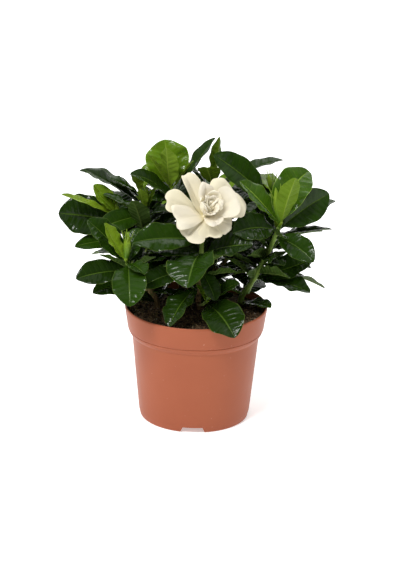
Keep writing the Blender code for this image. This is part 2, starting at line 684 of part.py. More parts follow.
def spike(foot, heading, rise, length):
    """A calyx lobe: a narrow three-sided blade that arches to a point."""
    frames = leaf_frames(foot, leaf(heading, rise, length, bend=LOBE_BEND), (0, 0.5, 1))
    points = []
    for (centre, side, up), reach in zip(frames, LOBE_REACH):
        points += [centre - side * reach, centre + side * reach, centre - up * (reach + 0.1)]
    faces = [(0, 1, 2), (6, 7, 8)]
    for k in (0, 3):
        faces += [(k + j, k + (j + 1) % 3, k + 3 + (j + 1) % 3, k + 3 + j) for j in range(3)]
    return new_object("spike", points, alike(faces))


def tip_seat(tip):
    """The end of the shoot that a tip stands on, its direction and its radius."""
    shoot = CUTTINGS[tip["shoot"][0]][tip["shoot"][1]]
    end, direction = along(shoot_line(shoot), 1.0)
    return end, direction, shoot["radius"][1]


def make_bud(name, tip):
    """The bud and its calyx lobes on the end of a shoot, not joined yet."""
    end, direction, radius = tip_seat(tip)
    foot = end + direction * SEAT_GAP
    heading, rise = tip["lean"]
    axis = direction_of(heading, rise)
    size = tip["bud"]
    parts = [spindle(name, foot, direction, [(0, radius), (BUD_STALK, radius * 0.8)], BUD_SIDES)]
    top = foot + direction * BUD_SINK
    shape = [(0, radius * 0.7)] + [(size * share, base + size * more) for share, base, more in BUD_SHAPE]
    parts.append(spindle("bud", top, axis, shape + [(size, BUD_POINT)], BUD_SIDES))
    for k in range(tip["lobes"]):
        turn = LOBE_TURN + 360 * k / tip["lobes"]
        lean = (90 - rise) * math.cos(math.radians(turn - heading))
        parts.append(spike(top + axis * (size * LOBE_SEAT), turn, LOBE_RISE - lean, size * LOBE_SHARE))
    for part in parts:
        take(name, part)
    return parts


def make_tip(name, tip, parts):
    """A shoot tip: its young leaves are placed and joined to its bud."""
    end, direction, radius = tip_seat(tip)
    centre = end + direction * TIP_LEAF_LIFT
    leaves = [place_leaf(name, number, centre, radius, wanted) for number, wanted in enumerate(tip["leaves"])]
    join(parts[0], parts[1:] + [one for one in leaves if one])
    finish(parts[0], name, YOUNG_GREEN)


def bloom_seat():
    """The end of the shoot that the bloom stands on, and the direction and radius of that end."""
    shoot = CUTTINGS["front_stem"][0]
    end, direction = along(shoot_line(shoot), 1.0)
    return end, direction, shoot["radius"][1]


def petal_profile(share):
    """A petal's half width at a share of its length, as a share of its widest: broadest near its end."""
    if share == 1.0:
        return PETAL_END
    return max(PETAL_FOOT, share ** 0.7 * math.sqrt(1 - share ** 5) / 0.715)


def petal_object(origin, right, up, axis, one, number):
    """A petal as a thin cupped solid that leans out from the bloom's axis, with a waved edge."""
    clock = math.radians(one["clock"])
    outward = right * math.cos(clock) + up * math.sin(clock)
    across = axis.cross(outward)
    half = one["width"] / 2
    centre = origin + axis * one["lift"]
    roll = math.radians(one["roll"])
    before = 0.0
    points = []
    for share in PETAL_SHARES:
        lean = math.radians(one["opens"][0] + (one["opens"][1] - one["opens"][0]) * share)
        forward = outward * math.sin(lean) + axis * math.cos(lean)
        centre = centre + forward * one["length"] * (share - before)
        before = share
        inward = axis * math.sin(lean) - outward * math.cos(lean)
        side = across * math.cos(roll) + inward * math.sin(roll)
        inward = inward * math.cos(roll) - across * math.sin(roll)
        reach = half * petal_profile(share)
        for lift in (PETAL_THICKNESS / 2, -PETAL_THICKNESS / 2):
            for v in PETAL_ACROSS:
                cup = one["cup"] * v * v + PETAL_WAVE * math.sin(6 * share + 3 * v + number)
                points.append(centre + side * (reach * v) + inward * (reach * cup + lift))
    row = len(PETAL_ACROSS)
    faces = []
    for k in range(len(PETAL_SHARES) - 1):
        a, b = 2 * row * k, 2 * row * (k + 1)
        for j in range(row - 1):
            faces.append((a + j, a + j + 1, b + j + 1, b + j))
            faces.append((a + row + j, a + row + j + 1, b + row + j + 1, b + row + j))
        faces += [(a, a + row, b + row, b), (a + row - 1, a + 2 * row - 1, b + 2 * row - 1, b + row - 1)]
    last = 2 * row * (len(PETAL_SHARES) - 1)
    for start in (0, last):
        faces += [(start + j, start + j + 1, start + row + j + 1, start + row + j) for j in range(row - 1)]
    return new_object("petal", points, alike(faces))


def make_calyx():
    """The green calyx under the bloom, with its long narrow lobes."""
    end, direction, radius = bloom_seat()
    foot = end + direction * SEAT_GAP
    lobe_seat = foot + direction * (CALYX_LENGTH - CALYX_LOBE["down"])
    calyx = spindle("bloom_calyx", foot, direction, [(0, radius), (2, radius), (CALYX_LENGTH, CALYX_RADIUS)],
                    BLOOM_SIDES)
    lobes = []
    for k in range(CALYX_LOBES):
        heading = CALYX_LOBE["first"] + 360 * k / CALYX_LOBES
        out = direction_of(heading, 0) * CALYX_LOBE["out"]
        lobes.append(spike(lobe_seat + out, heading, CALYX_LOBE["rise"], CALYX_LOBE["length"]))
    join(calyx, lobes)
    finish(calyx, "bloom_calyx", YOUNG_GREEN)
    take("bloom_calyx", calyx)


def make_bloom():
    """The bloom: a tube on the calyx, a small heart and all the petals, joined as one body."""
    end, direction, _ = bloom_seat()
    axis = direction_of(BLOOM_HEADING, BLOOM_RISE)
    right = Vector((0, 0, 1)).cross(axis).normalized()
    up = axis.cross(right)
    seat = end + direction * (CALYX_LENGTH + 2 * SEAT_GAP)
    petals_foot = seat + direction * PETAL_SEAT[0] + axis * PETAL_SEAT[1]
    bloom = spindle("bloom", seat, direction, [(0, TUBE_RADII[0]), (TUBE_LENGTH, TUBE_RADII[1])], BLOOM_SIDES)
    heart = spindle("heart", petals_foot - axis * HEART_SINK, axis, HEART_SHAPE, BLOOM_SIDES)
    petals = [petal_object(petals_foot, right, up, axis, one, number) for number, one in enumerate(PETALS)]
    join(bloom, [heart] + petals)
    finish(bloom, "bloom", IVORY)
    take("bloom", bloom)


def centre_over_origin():
    """Move everything sideways, so that the origin is the bottom centre of the whole plant's box."""
    points = [vertex.co for obj in bpy.data.objects for vertex in obj.data.vertices]
    middle = [(min(p[i] for p in points) + max(p[i] for p in points)) / 2 for i in (0, 1)]
    for obj in bpy.data.objects:
        obj.data.transform(Matrix.Translation((-middle[0], -middle[1], 0)))


def main():
    clear_scene()
    take("pot", make_pot())
    take("soil", make_soil())
    make_calyx()
    make_bloom()
    rods = {name: make_rods(name) for name in CUTTINGS}
    buds = {name: make_bud(name, tip) for name, tip in TIPS.items()}
    for name, tip in TIPS.items():
        make_tip(name, tip, buds[name])
    for name in PLACING_ORDER:
        make_stem(name, rods[name])
    centre_over_origin()


main()
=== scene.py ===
from math import cos, exp, hypot, pi, radians, sin, sqrt
from random import Random

import bpy
import bmesh
import numpy as np
from mathutils import Matrix, Vector, kdtree, noise
from mathutils.bvhtree import BVHTree


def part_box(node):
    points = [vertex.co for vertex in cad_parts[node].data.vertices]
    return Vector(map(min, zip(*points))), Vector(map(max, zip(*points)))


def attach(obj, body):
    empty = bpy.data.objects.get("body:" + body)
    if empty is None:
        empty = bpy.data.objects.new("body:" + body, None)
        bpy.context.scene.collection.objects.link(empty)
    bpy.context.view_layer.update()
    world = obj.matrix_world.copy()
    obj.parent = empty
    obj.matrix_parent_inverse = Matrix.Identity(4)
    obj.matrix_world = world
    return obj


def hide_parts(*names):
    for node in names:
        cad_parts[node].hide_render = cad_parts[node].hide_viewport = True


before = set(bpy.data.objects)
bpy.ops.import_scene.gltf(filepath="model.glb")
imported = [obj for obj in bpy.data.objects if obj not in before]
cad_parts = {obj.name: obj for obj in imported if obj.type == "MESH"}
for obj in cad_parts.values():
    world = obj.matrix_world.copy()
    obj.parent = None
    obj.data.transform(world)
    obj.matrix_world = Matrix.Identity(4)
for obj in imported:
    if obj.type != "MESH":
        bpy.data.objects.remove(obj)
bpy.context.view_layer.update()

# The plant is laid out in millimetres from the middle of the pot's foot
potLow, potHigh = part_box("pot")
potMiddle = Vector(((potLow[0] + potHigh[0]) / 2, (potLow[1] + potHigh[1]) / 2, 0))
millimetre, metre = 0.001, 1000  # each in the other's unit


def toScene(points):
    return np.asarray(points, dtype=float) * millimetre + np.array(potMiddle)


def addObject(name, data):
    made = bpy.data.objects.new(name, data)
    bpy.context.scene.collection.objects.link(made)
    return made


def dress(piece, node):
    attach(piece, "root")
    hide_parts(node)


def turned(a, b, angle):
    # two directions turned together, the first one towards the second
    return a * cos(angle) + b * sin(angle), b * cos(angle) - a * sin(angle)


class Recipe:
    # a few short ways to chain the nodes of a material or of the world

    def __init__(self, owner, shader, **inputs):
        owner.use_nodes = True
        self.owner, self.tree = owner, owner.node_tree
        self.shader = self.tree.nodes[shader]
        self.finish(**inputs)

    def feed(self, socket, value):
        if isinstance(value, bpy.types.NodeSocket):
            self.tree.links.new(value, socket)
        else:
            socket.default_value = value

    def fill(self, node, inputs):
        for name, value in inputs.items():
            self.feed(node.inputs[name.replace("_", " ")], value)

    def node(self, kind, **inputs):
        made = self.tree.nodes.new(kind)
        self.fill(made, inputs)
        return made

    def finish(self, **inputs):
        self.fill(self.shader, inputs)
        return self.owner

    def skin(self, colour, normal, **more):
        return self.finish(Base_Color=colour, Normal=normal, **more)

    def math(self, operation, a, b=0.0, c=0.0):
        made = self.tree.nodes.new("ShaderNodeMath")
        made.operation = operation
        for socket, value in zip(made.inputs, (a, b, c)):
            self.feed(socket, value)
        return made.outputs[0]

    def add(self, a, b):
        return self.math("ADD", a, b)

    def times(self, a, b):
        return self.math("MULTIPLY", a, b)

    def fromMiddle(self, value):
        return self.math("ABSOLUTE", self.math("SUBTRACT", value, 0.5))

    def mix(self, share, a, b, blend="MIX"):
        made = self.tree.nodes.new("ShaderNodeMix")
        made.data_type = "RGBA"
        made.blend_type = blend
        self.feed(made.inputs["Factor"], share)
        for name, value in (("A", a), ("B", b)):
            self.feed(made.inputs[name], value if isinstance(value, bpy.types.NodeSocket) else (*value, 1))
        return made.outputs["Result"]

    def layers(self, colour, *coats):
        # each coat is its share and its colour
        for share, over in coats:
            colour = self.mix(share, colour, over)
        return colour

    def place(self, kind="Object"):
        return self.tree.nodes.new("ShaderNodeTexCoord").outputs[kind]

    def stretched(self, scales, where=None):
        return self.node("ShaderNodeMapping", Scale=scales, Vector=where or self.place()).outputs["Vector"]

    def noise(self, scale, detail, where=None, rough=0.5):
        made = self.node("ShaderNodeTexNoise", Scale=scale, Detail=detail, Roughness=rough,
                         Vector=where or self.place())
        return made.outputs["Fac"]

    def uvMap(self, name):
        made = self.tree.nodes.new("ShaderNodeUVMap")
        made.uv_map = name
        return made.outputs["UV"]

    def uv(self, name):
        apart = self.node("ShaderNodeSeparateXYZ", Vector=self.uvMap(name))
        return apart.outputs["X"], apart.outputs["Y"]

    def band(self, value, low, high, start=0.0, end=1.0):
        made = self.node("ShaderNodeMapRange", Value=value, From_Min=low, From_Max=high, To_Min=start,
                         To_Max=end)
        made.interpolation_type = "SMOOTHSTEP"
        return made.outputs["Result"]

    def bump(self, height, strength, distance):
        made = self.node("ShaderNodeBump", Strength=strength, Distance=distance, Height=height)
        return made.outputs["Normal"]


softDepth = 0.0015  # how far light wanders in young leaves, in metres


def newMaterial(name, roughness, specular, soft=0.0, softRadius=(1, 1, 1)):
    return Recipe(bpy.data.materials.new(name), "Principled BSDF", Roughness=roughness,
                  Specular_IOR_Level=specular, Subsurface_Weight=soft, Subsurface_Radius=softRadius,
                  Subsurface_Scale=softDepth)


# How a blade is drawn: rows between its side veins, and places across one half
leafShape = dict(
    steps=24, stalkShare=0.1, stalkWidth=2.2, stalkThickness=1.5, stalkFade=0.16, bladeFade=0.08, sink=0.2,
    widest=0.5625, swell=0.9, end=0.7, fullness=0.74, tipFrom=0.70, tipPinch=0.36,
    veins=9, rowsPerVein=4, veinLean=0.16, veinOffset=0.25, bladeFrom=0.115,
    across=(0.0, 0.045, 0.13, 0.28, 0.46, 0.64, 0.80, 0.92, 1.0), thickness=0.5,
    fold=0.3, foldStart=0.3, ripple=0.07, rippleRate=13.0, frill=0.085, quilt=0.85,
    groove=0.5, grooveWidth=0.55, backRib=0.7, ribWidth=0.8, leastReach=0.12,
)

# A leaf blade's colours from its darkest to its brightest, then its veins, margin and gloss
leafLook = dict(
    old=(0.0085, 0.020, 0.0025), ripe=(0.020, 0.055, 0.0025), fresh=(0.060, 0.140, 0.006),
    vein=(0.085, 0.15, 0.016), margin=(0.14, 0.20, 0.035), roughness=0.15, veins=9, specular=0.17,
)
youngLook = dict(
    old=(0.042, 0.100, 0.0035), ripe=(0.115, 0.205, 0.007), fresh=(0.22, 0.325, 0.018),
    vein=(0.26, 0.38, 0.045), margin=(0.27, 0.38, 0.055), roughness=0.15, veins=8, specular=0.2,
)
veinShow = 0.08  # how clearly the side veins show on an upper face
leafBackLook = dict(
    colour=(0.045, 0.082, 0.012), vein=(0.11, 0.16, 0.035), roughness=0.45, patches=0.5, veinShow=0.6,
)
youngBackLook = dict(
    colour=(0.16, 0.25, 0.018), vein=(0.22, 0.31, 0.035), roughness=0.5, patches=0.25, veinShow=0.2,
)


def veinDistance(r, across, along, veins, patches):
    # 0 on a side vein and 0.5 half way to the next, with the veins of one half a little ahead
    ahead = r.times(r.math("GREATER_THAN", across, 0.5), leafShape["veinOffset"])
    beat = r.add(r.math("MULTIPLY_ADD", along, veins, 0.5), ahead)
    beat = r.add(beat, r.times(r.math("SUBTRACT", patches, 0.5), 0.35))
    return r.fromMiddle(r.math("FRACT", beat))


def bladeMaterial(name, look, soft):
    r = newMaterial(name, look["roughness"], look["specular"], soft, (0.5, 1.0, 0.15))
    across, along = r.uv("blade")
    fresh, shade = r.uv("tint")
    side = r.fromMiddle(across)
    patches = r.noise(90, 4)
    fine = r.noise(900, 5, rough=0.65)
    veinGap = veinDistance(r, across, along, look["veins"], patches)
    sideVein = r.times(r.band(veinGap, 0.03, 0.10, 1, 0), r.band(side, 0.30, 0.47, veinShow, 0.0))
    midrib = r.times(r.band(side, 0.008, 0.028, 1, 0), r.band(along, 0.7, 1, 0.8, 0.4))
    colour = r.mix(r.band(fresh, 0.0, 0.5), look["old"], look["ripe"])
    colour = r.mix(r.band(fresh, 0.5, 1.0), colour, look["fresh"])
    darker = r.mix(r.times(r.band(patches, 0.35, 0.7), 0.4), colour, (0.004, 0.012, 0.003))
    colour = r.layers(
        colour,
        (r.band(side, 0.0, 0.5, 0.25, 0.8), darker),
        (sideVein, look["vein"]),
        (midrib, look["vein"]),
        (r.times(r.band(side, 0.478, 0.497), 0.55), look["margin"]),
        (r.band(fine, 0.55, 0.8, 0.0, 0.12), look["vein"]))
    colour = r.mix(r.times(shade, 0.5), colour, (0.35, 0.45, 0.35), "MULTIPLY")
    roughness = r.add(r.times(patches, 0.14), look["roughness"] - 0.05)
    height = r.add(r.times(r.band(veinGap, 0.02, 0.28), 0.6), r.times(fine, 0.16))
    height = r.add(height, r.times(r.noise(230, 2), 1.4))
    height = r.add(height, r.band(side, 0.0, 0.03, 0.0, 0.5))
    return r.skin(colour, r.bump(height, 0.55, 0.0004), Roughness=roughness)


def backMaterial(name, look):
    r = newMaterial(name, look["roughness"], 0.08)
    across, along = r.uv("blade")
    side = r.fromMiddle(across)
    veinGap = veinDistance(r, across, along, leafLook["veins"], r.noise(90, 4))
    colour = r.layers(
        look["colour"],
        (r.band(r.uv("tint")[0], 0.2, 1.0, 0, 0.8), youngLook["ripe"]),
        (r.times(r.noise(140, 4), look["patches"]), (0.02, 0.05, 0.012)),
        (r.band(veinGap, 0.02, 0.09, look["veinShow"], 0), look["vein"]),
        (r.band(side, 0.01, 0.04, 1, 0), look["vein"]))
    height = r.add(r.band(veinGap, 0.0, 0.12, 1, 0), r.times(r.noise(1100, 3), 0.3))
    return r.skin(colour, r.bump(height, 0.5, 0.0004))


leafTop = bladeMaterial("glossyLeaf", leafLook, 0.0)
youngTop = bladeMaterial("youngLeaf", youngLook, 0.12)
leafBack = backMaterial("leafBack", leafBackLook)
youngBack = backMaterial("youngLeafBack", youngBackLook)

# How a leaf's place is found again: turns tried, their step in degrees, and which corners have to be met
placing = dict(tries=120, step=0.35, halfSolid=0.4, near=0.12, met=3, tipLift=2.1)
seatGap = 0.3  # between a piece and the one that carries it


def leaf(heading, rise, length, width=0.5, bend=30, roll=0):
    return dict(heading=heading, rise=rise, length=length, width=width, bend=bend, roll=roll)


def ring(at, turn, count, rise, length):
    # a whorl whose leaves stand evenly round the shoot
    draw = Random(f"{turn} {count} {rise} {length}")
    leaves = [(turn + k * 360 / count + draw.uniform(-9, 9), rise + draw.uniform(-7, 7),
               length * draw.uniform(0.92, 1.06), 0.5, 30, draw.uniform(-12, 12)) for k in range(count)]
    return at, *leaves


def directionOf(heading, rise):
    h, r = radians(heading), radians(rise)
    return Vector((cos(h) * cos(r), sin(h) * cos(r), sin(r)))


def afterStalk(share):
    return np.clip((share - leafShape["stalkShare"]) / (1 - leafShape["stalkShare"]), 0, 1)


def bladeProfile(share):
    s, widest = afterStalk(share), leafShape["widest"]
    return (s / widest) ** leafShape["swell"] * ((1 - s) / (1 - widest)) ** leafShape["end"]


def drawnProfile(share):
    # the same outline with rounder sides, drawn in to a short point over its last part
    pinch = np.clip((afterStalk(share) - leafShape["tipFrom"]) / (1 - leafShape["tipFrom"]), 0, 1) ** 1.4
    return bladeProfile(share) ** leafShape["fullness"] * (1 - leafShape["tipPinch"] * pinch)


def leafFrames(foot, one, share):
    # midrib, sideways and upward directions at each share of a leaf's length
    heading = np.radians(one["heading"])

    def directionAt(at):
        rise = np.radians(one["rise"] + one["bend"] * (0.5 - at))
        return np.stack((np.cos(heading) * np.cos(rise), np.sin(heading) * np.cos(rise), np.sin(rise)), -1)

    steps = leafShape["steps"]
    ahead = directionAt((np.arange(steps) + 0.5) / steps) * (one["length"] / steps)
    line = np.vstack((np.zeros(3), np.cumsum(ahead, 0))) + np.array(foot)
    marks = np.arange(steps + 1) / steps
    centre = np.stack([np.interp(share, marks, line[:, i]) for i in range(3)], -1)
    side = np.array((-np.sin(heading), np.cos(heading), 0.0))
    return centre, *turned(side, np.cross(directionAt(share), side), radians(one["roll"]))


class Sheet:
    # gathers many blades into one mesh

    def __init__(self):
        self.points, self.faces, self.blade, self.tint, self.looks = [], [], [], [], []
        self.count = 0

    def add(self, points, faces, blade, tint, look=0):
        self.points.append(toScene(points))
        self.faces += [tuple(int(i) + self.count for i in face) for face in faces]
        self.blade.append(np.asarray(blade, dtype=float))
        self.tint.append(np.broadcast_to(np.asarray(tint, dtype=float), (len(points), 2)))
        self.looks += [look] * len(faces)
        self.count += len(points)

    def addGrid(self, points, columns, blade, tint, look=0, flip=False):
        self.add(points, gridFaces(len(points) // columns, columns, flip), blade, tint, look)

    def make(self, name, materials, node, slot, smooth=True):
        mesh = bpy.data.meshes.new(name)
        mesh.from_pydata(np.concatenate(self.points).tolist(), [], self.faces)
        order = np.zeros(len(mesh.loops), dtype=int)
        mesh.loops.foreach_get("vertex_index", order)
        for layer, values in (("blade", self.blade), ("tint", self.tint)):
            uv = mesh.uv_layers.new(name=layer)
            uv.data.foreach_set("uv", np.concatenate(values)[order].ravel())
        for one in materials:
            mesh.materials.append(one)
        mesh.polygons.foreach_set("material_index", self.looks)
        mesh.polygons.foreach_set("use_smooth", [smooth] * len(mesh.polygons))
        mesh.update()
        dress(addObject(name, mesh), node)


def gridFaces(rows, columns, flip):
    faces = []
    for i in range(rows - 1):
        for j in range(columns - 1):
            a = i * columns + j
            face = (a, a + 1, a + columns + 1, a + columns)
            faces.append(face[::-1] if flip else face)
    return faces


bladeSteps = leafShape["veins"] * leafShape["rowsPerVein"]
bladeFrom = leafShape["bladeFrom"]
bladeShares = np.arange(bladeSteps + 1) / bladeSteps
leafRows = np.concatenate(((0.0, 0.04, 0.08), bladeFrom + (1 - bladeFrom) * bladeShares))
halfAcross = np.array(leafShape["across"])
fullAcross = np.concatenate((-halfAcross[:0:-1], halfAcross))


def drawLeaf(sheet, foot, one, tint, seed, veins=leafShape["veins"], thick=leafShape["thickness"]):
    draw = Random(seed)
    shape = leafShape
    half = one["length"] * one["width"] / 2
    row, v = np.meshgrid(leafRows, fullAcross, indexing="ij")
    size = np.abs(v)
    inBlade = np.clip((row - bladeFrom) / (1 - bladeFrom), 0, 1)
    lean = shape["veinLean"] * 4 * inBlade * (1 - inBlade) * size ** 1.25
    share = np.clip(row + lean * one["width"] * 1.6 * (1 - row) ** 0.3, 0, 1)
    centre, side, up = leafFrames(foot, one, share)
    pastStalk = share - shape["stalkShare"]
    stalk = shape["stalkWidth"] / 2 * np.clip(1 - pastStalk / shape["stalkFade"], 0, 1) ** 0.5
    reach = np.maximum(np.maximum(drawnProfile(share) * half, stalk), shape["leastReach"])
    isBlade = np.clip(pastStalk / shape["bladeFade"], 0, 1)
    bowl = shape["fold"] * np.minimum(1, share / shape["foldStart"]) * (1.28 * size - 0.30 * size ** 2.6)
    ripple = shape["ripple"] * np.sin(share * shape["rippleRate"] + one["length"]) * v
    frill = shape["frill"] * size ** 3 * np.sin(share * draw.uniform(20, 27) + draw.uniform(0, 6)
                                                + np.where(v > 0, 1.7, 0.0))
    lift = reach * (bowl + ripple + frill) * isBlade
    ahead = np.where(v > 0, shape["veinOffset"], 0.0)
    beat = np.abs((inBlade * veins + 0.5 + ahead) % 1 - 0.5) * 2  # 0 on a side vein, 1 half way to the next
    fade = np.sin(size * pi) ** 0.6 * np.clip(half / 12, 0.4, 1.2)
    lift += shape["quilt"] * (beat ** 0.7 - 0.5) * fade * isBlade * np.sin(inBlade * pi) ** 0.4
    lift -= shape["groove"] * np.exp(-(v * reach / shape["grooveWidth"]) ** 2) * isBlade * (1 - 0.6 * share)
    body = shape["stalkThickness"] / 2 * (1 - isBlade) + thick / 2 * isBlade
    body = body * np.sqrt(np.clip(1 - size ** (2 + 10 * isBlade), 0, 1))
    rib = shape["backRib"] * np.exp(-(v * reach / shape["ribWidth"]) ** 2) * isBlade * (1 - share) ** 0.7
    base = centre + side * (reach * v)[..., None]
    top = base + up * (lift + body)[..., None]
    low = base + up * (lift - body - rib)[..., None]
    uv = np.stack((v * 0.5 + 0.5, inBlade), -1).reshape(-1, 2)
    sheet.addGrid(top.reshape(-1, 3), len(fullAcross), uv, tint)
    sheet.addGrid(low.reshape(-1, 3), len(fullAcross), uv, tint, 1, flip=True)


def outlineCorners(foot, one):
    # a few corners of the plain leaf solid, by which its place is known again
    shares = np.array([0.58, 0.82])
    corners = []
    for share, centre, side, up in zip(shares, *leafFrames(foot, one, shares)):
        reach = one["length"] * one["width"] / 2 * bladeProfile(share)
        wave = leafShape["ripple"] * reach * sin(share * leafShape["rippleRate"] + one["length"])
        for v in (-1, 1):
            edge = centre + side * (reach * v) + up * (leafShape["fold"] * reach + wave * v)
            corners += [edge + up * placing["halfSolid"], edge - up * placing["halfSolid"]]
    return corners


def cornersOf(solid):
    return [(vertex.co - potMiddle) * metre for vertex in solid.data.vertices]


def nodeCorners(node):
    corners = cornersOf(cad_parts[node])
    tree = kdtree.KDTree(len(corners))
    for i, corner in enumerate(corners):
        tree.insert(corner, i)
    tree.balance()
    return tree


def leafFoot(centre, radius, one):
    return centre + directionOf(one["heading"], 0) * (radius * leafShape["sink"])


def standLeaf(tree, node, number, centre, radius, wanted):
    # the leaf as the solid has it: the first of the same seeded turns that meets the solid's corners
    draw = Random(f"{node} {number}")
    for attempt in range(placing["tries"]):
        turn = attempt * placing["step"]
        one = dict(wanted)
        for key in ("heading", "rise", "roll"):
            one[key] += draw.uniform(-turn, turn)
        foot = leafFoot(centre, radius, one)
        met = sum(tree.find(corner)[2] < placing["near"] for corner in outlineCorners(foot, one))
        if met >= placing["met"]:
            return foot, one
    return None


def drawFound(sheet, tree, node, number, centre, radius, wanted, tint, *more):
    stood = standLeaf(tree, node, number, centre, radius, leaf(*wanted))
    if stood:
        drawLeaf(sheet, *stood, tint, f"form {node} {number}", *more)
    return bool(stood)


# Smaller leaves that fill the middle of the plant, wherever there is room between the others
innerLeaves = dict(
    spots=(0.3, 0.38, 0.46, 0.54, 0.62, 0.7, 0.78, 0.86, 0.93), perSpot=3, tries=10, turn=137, margin=0.8,
    drawn=dict(rise=(-32, 34), length=(30, 47), width=(0.34, 0.5), bend=(10, 40), roll=(-40, 40)), climb=14,
    room=((-88, 88), (-50, 92), (108, 204)), openFront=(0, 134), veins=7,
)


def leafTree(foot, one, margin):
    share = np.array([0.17, 0.35, 0.55, 0.75, 0.9, 1.0])
    centre, side, up = leafFrames(foot, one, share)
    reach = np.maximum(bladeProfile(share) * one["length"] * one["width"] / 2, 0.5)
    points, faces = [], []
    for k in range(len(share)):
        for v in (-1, 0, 1):
            at = centre[k] + side[k] * (reach[k] * v) + up[k] * (leafShape["fold"] * reach[k] * abs(v))
            points += [Vector(at + up[k] * margin), Vector(at - up[k] * margin)]
        if k:
            for j in range(4):
                a, b = (k - 1) * 6 + j, k * 6 + j
                faces.append((a, a + 2, b + 2, b))
    return BVHTree.FromPolygons(points, faces), Vector(centre[-1])


# Every solid's skin, which a new leaf has to stay clear of
blocked = [BVHTree.FromPolygons(cornersOf(solid), [tuple(face.vertices) for face in solid.data.polygons])
           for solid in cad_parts.values()]


def innerLeavesOf(line, radii, seed):
    found = []
    draw = Random(seed)
    rule = innerLeaves
    for at in rule["spots"]:
        centre = alongLine(line, at)[0]
        radius = radii[0] + (radii[1] - radii[0]) * at
        for _ in range(rule["perSpot"]):
            turn = draw.uniform(0, 360)
            for attempt in range(rule["tries"]):
                one = {key: draw.uniform(*span) for key, span in rule["drawn"].items()}
                one["heading"] = turn + attempt * rule["turn"]
                one["rise"] += rule["climb"] * at
                foot = leafFoot(centre, radius, one)
                tree, tip = leafTree(foot, one, rule["margin"])
                inside = all(low <= place <= high for place, (low, high) in zip(tip, rule["room"]))
                inFront = tip.y < rule["openFront"][0] and tip.z < rule["openFront"][1]
                if inside and not inFront and not any(tree.overlap(other) for other in blocked):
                    blocked.append(tree)
                    found.append((foot, one))
                    break
    return found


stemShape = dict(
    side=(-1, -0.2, -0.1), sides=14, rows=90, foot=72.0, straight=108.0, lead=8, cuts=2,
    knot=0.28, knotLength=2.2,
)


def smoothLine(points):
    line = [Vector(p) for p in points]
    for _ in range(stemShape["cuts"]):
        cut = [line[0]]
        for a, b in zip(line, line[1:]):
            cut += [a.lerp(b, 0.25), a.lerp(b, 0.75)]
        line = cut + [line[-1]]
    return line


def alongLine(line, share):
    lengths = [(b - a).length for a, b in zip(line, line[1:])]
    left = share * sum(lengths)
    for a, b, length in zip(line, line[1:], lengths):
        if left <= length:
            return a.lerp(b, left / length), (b - a).normalized()
        left -= length
    return line[-1], (line[-1] - line[-2]).normalized()


def shootLine(shoot):
    if "foot" not in shoot:
        return smoothLine(shoot["path"])
    x, y = shoot["foot"]
    upright = [(x, y, stemShape["straight"] - stemShape["lead"]), (x, y, stemShape["straight"])]
    return [Vector((x, y, stemShape["foot"]))] + smoothLine(upright + shoot["path"])


# Each cutting is one leafy stem, and its bark is how woody it is at the soil and at its end. A whorl is its
# share of the shoot and then its leaves, each one a heading, rise, length, width, bend and roll.
cuttings = {}
cuttings["front_stem"] = dict(bark=(0.95, 0.2), shoots=[
    dict(foot=(2, -4), radius=(2.6, 1.9),
         path=[(2, -15, 124), (3, -25, 150), (4, -29, 170), (4, -30, 183)], whorls=[
        (0.53, (238, -27, 55, 0.5, 44, 10)),
        (0.57, (18, -22, 44, 0.45), (130, -2, 46)),
        (0.70, (196, -14, 57, 0.36, 30, -40), (304, -42, 34, 0.5, 24, 10)),
        (0.84, (256, -19, 53, 0.84, 70, 16), (203, 10, 53, 0.32, 20, -40), (341, 17, 50, 0.54, 20, 34)),
        (0.95, (200, 4, 65, 0.42, 22, -45), (62, 12, 52)),
    ]),
    dict(path=[(2, -9, 110), (5, -22, 113), (9, -35, 121)], radius=(1.6, 1.2),
         whorls=[(0.85, (302, -18, 54, 0.66, 45, 18))]),
])
cuttings["right_stem"] = dict(bark=(0.25, 0.0), shoots=[
    dict(foot=(41, 19), path=[(53, 12, 128), (64, -2, 158), (73, -12, 186)], radius=(2.9, 1.8), whorls=[
        (0.24, (308, 4, 40, 0.46, 12)),
        (0.48, (355, 22, 57, 0.44, -8, 40), (208, 38, 42, 0.44, 20), (334, -3, 55, 0.42, 25, 20)),
        (0.58, (18, -21, 71, 0.3, 24), (192, 8, 44, 0.42)),
        (0.90, (316, -14, 49, 0.46, 40, 40), (24, 1, 57, 0.26, 14), (130, 15, 50)),
        (0.965, (28, 28, 59, 0.5, 20, 72), (215, 7, 50, 0.56, 34, -45), (36, 18, 74, 0.3, 22)),
    ]),
    dict(path=[(46, 16, 112), (58, 34, 132), (68, 50, 152)], radius=(2.2, 1.6), whorls=[
        ring(0.45, 20, 2, -5, 50),
        ring(0.92, 0, 3, 14, 56),
    ]),
])
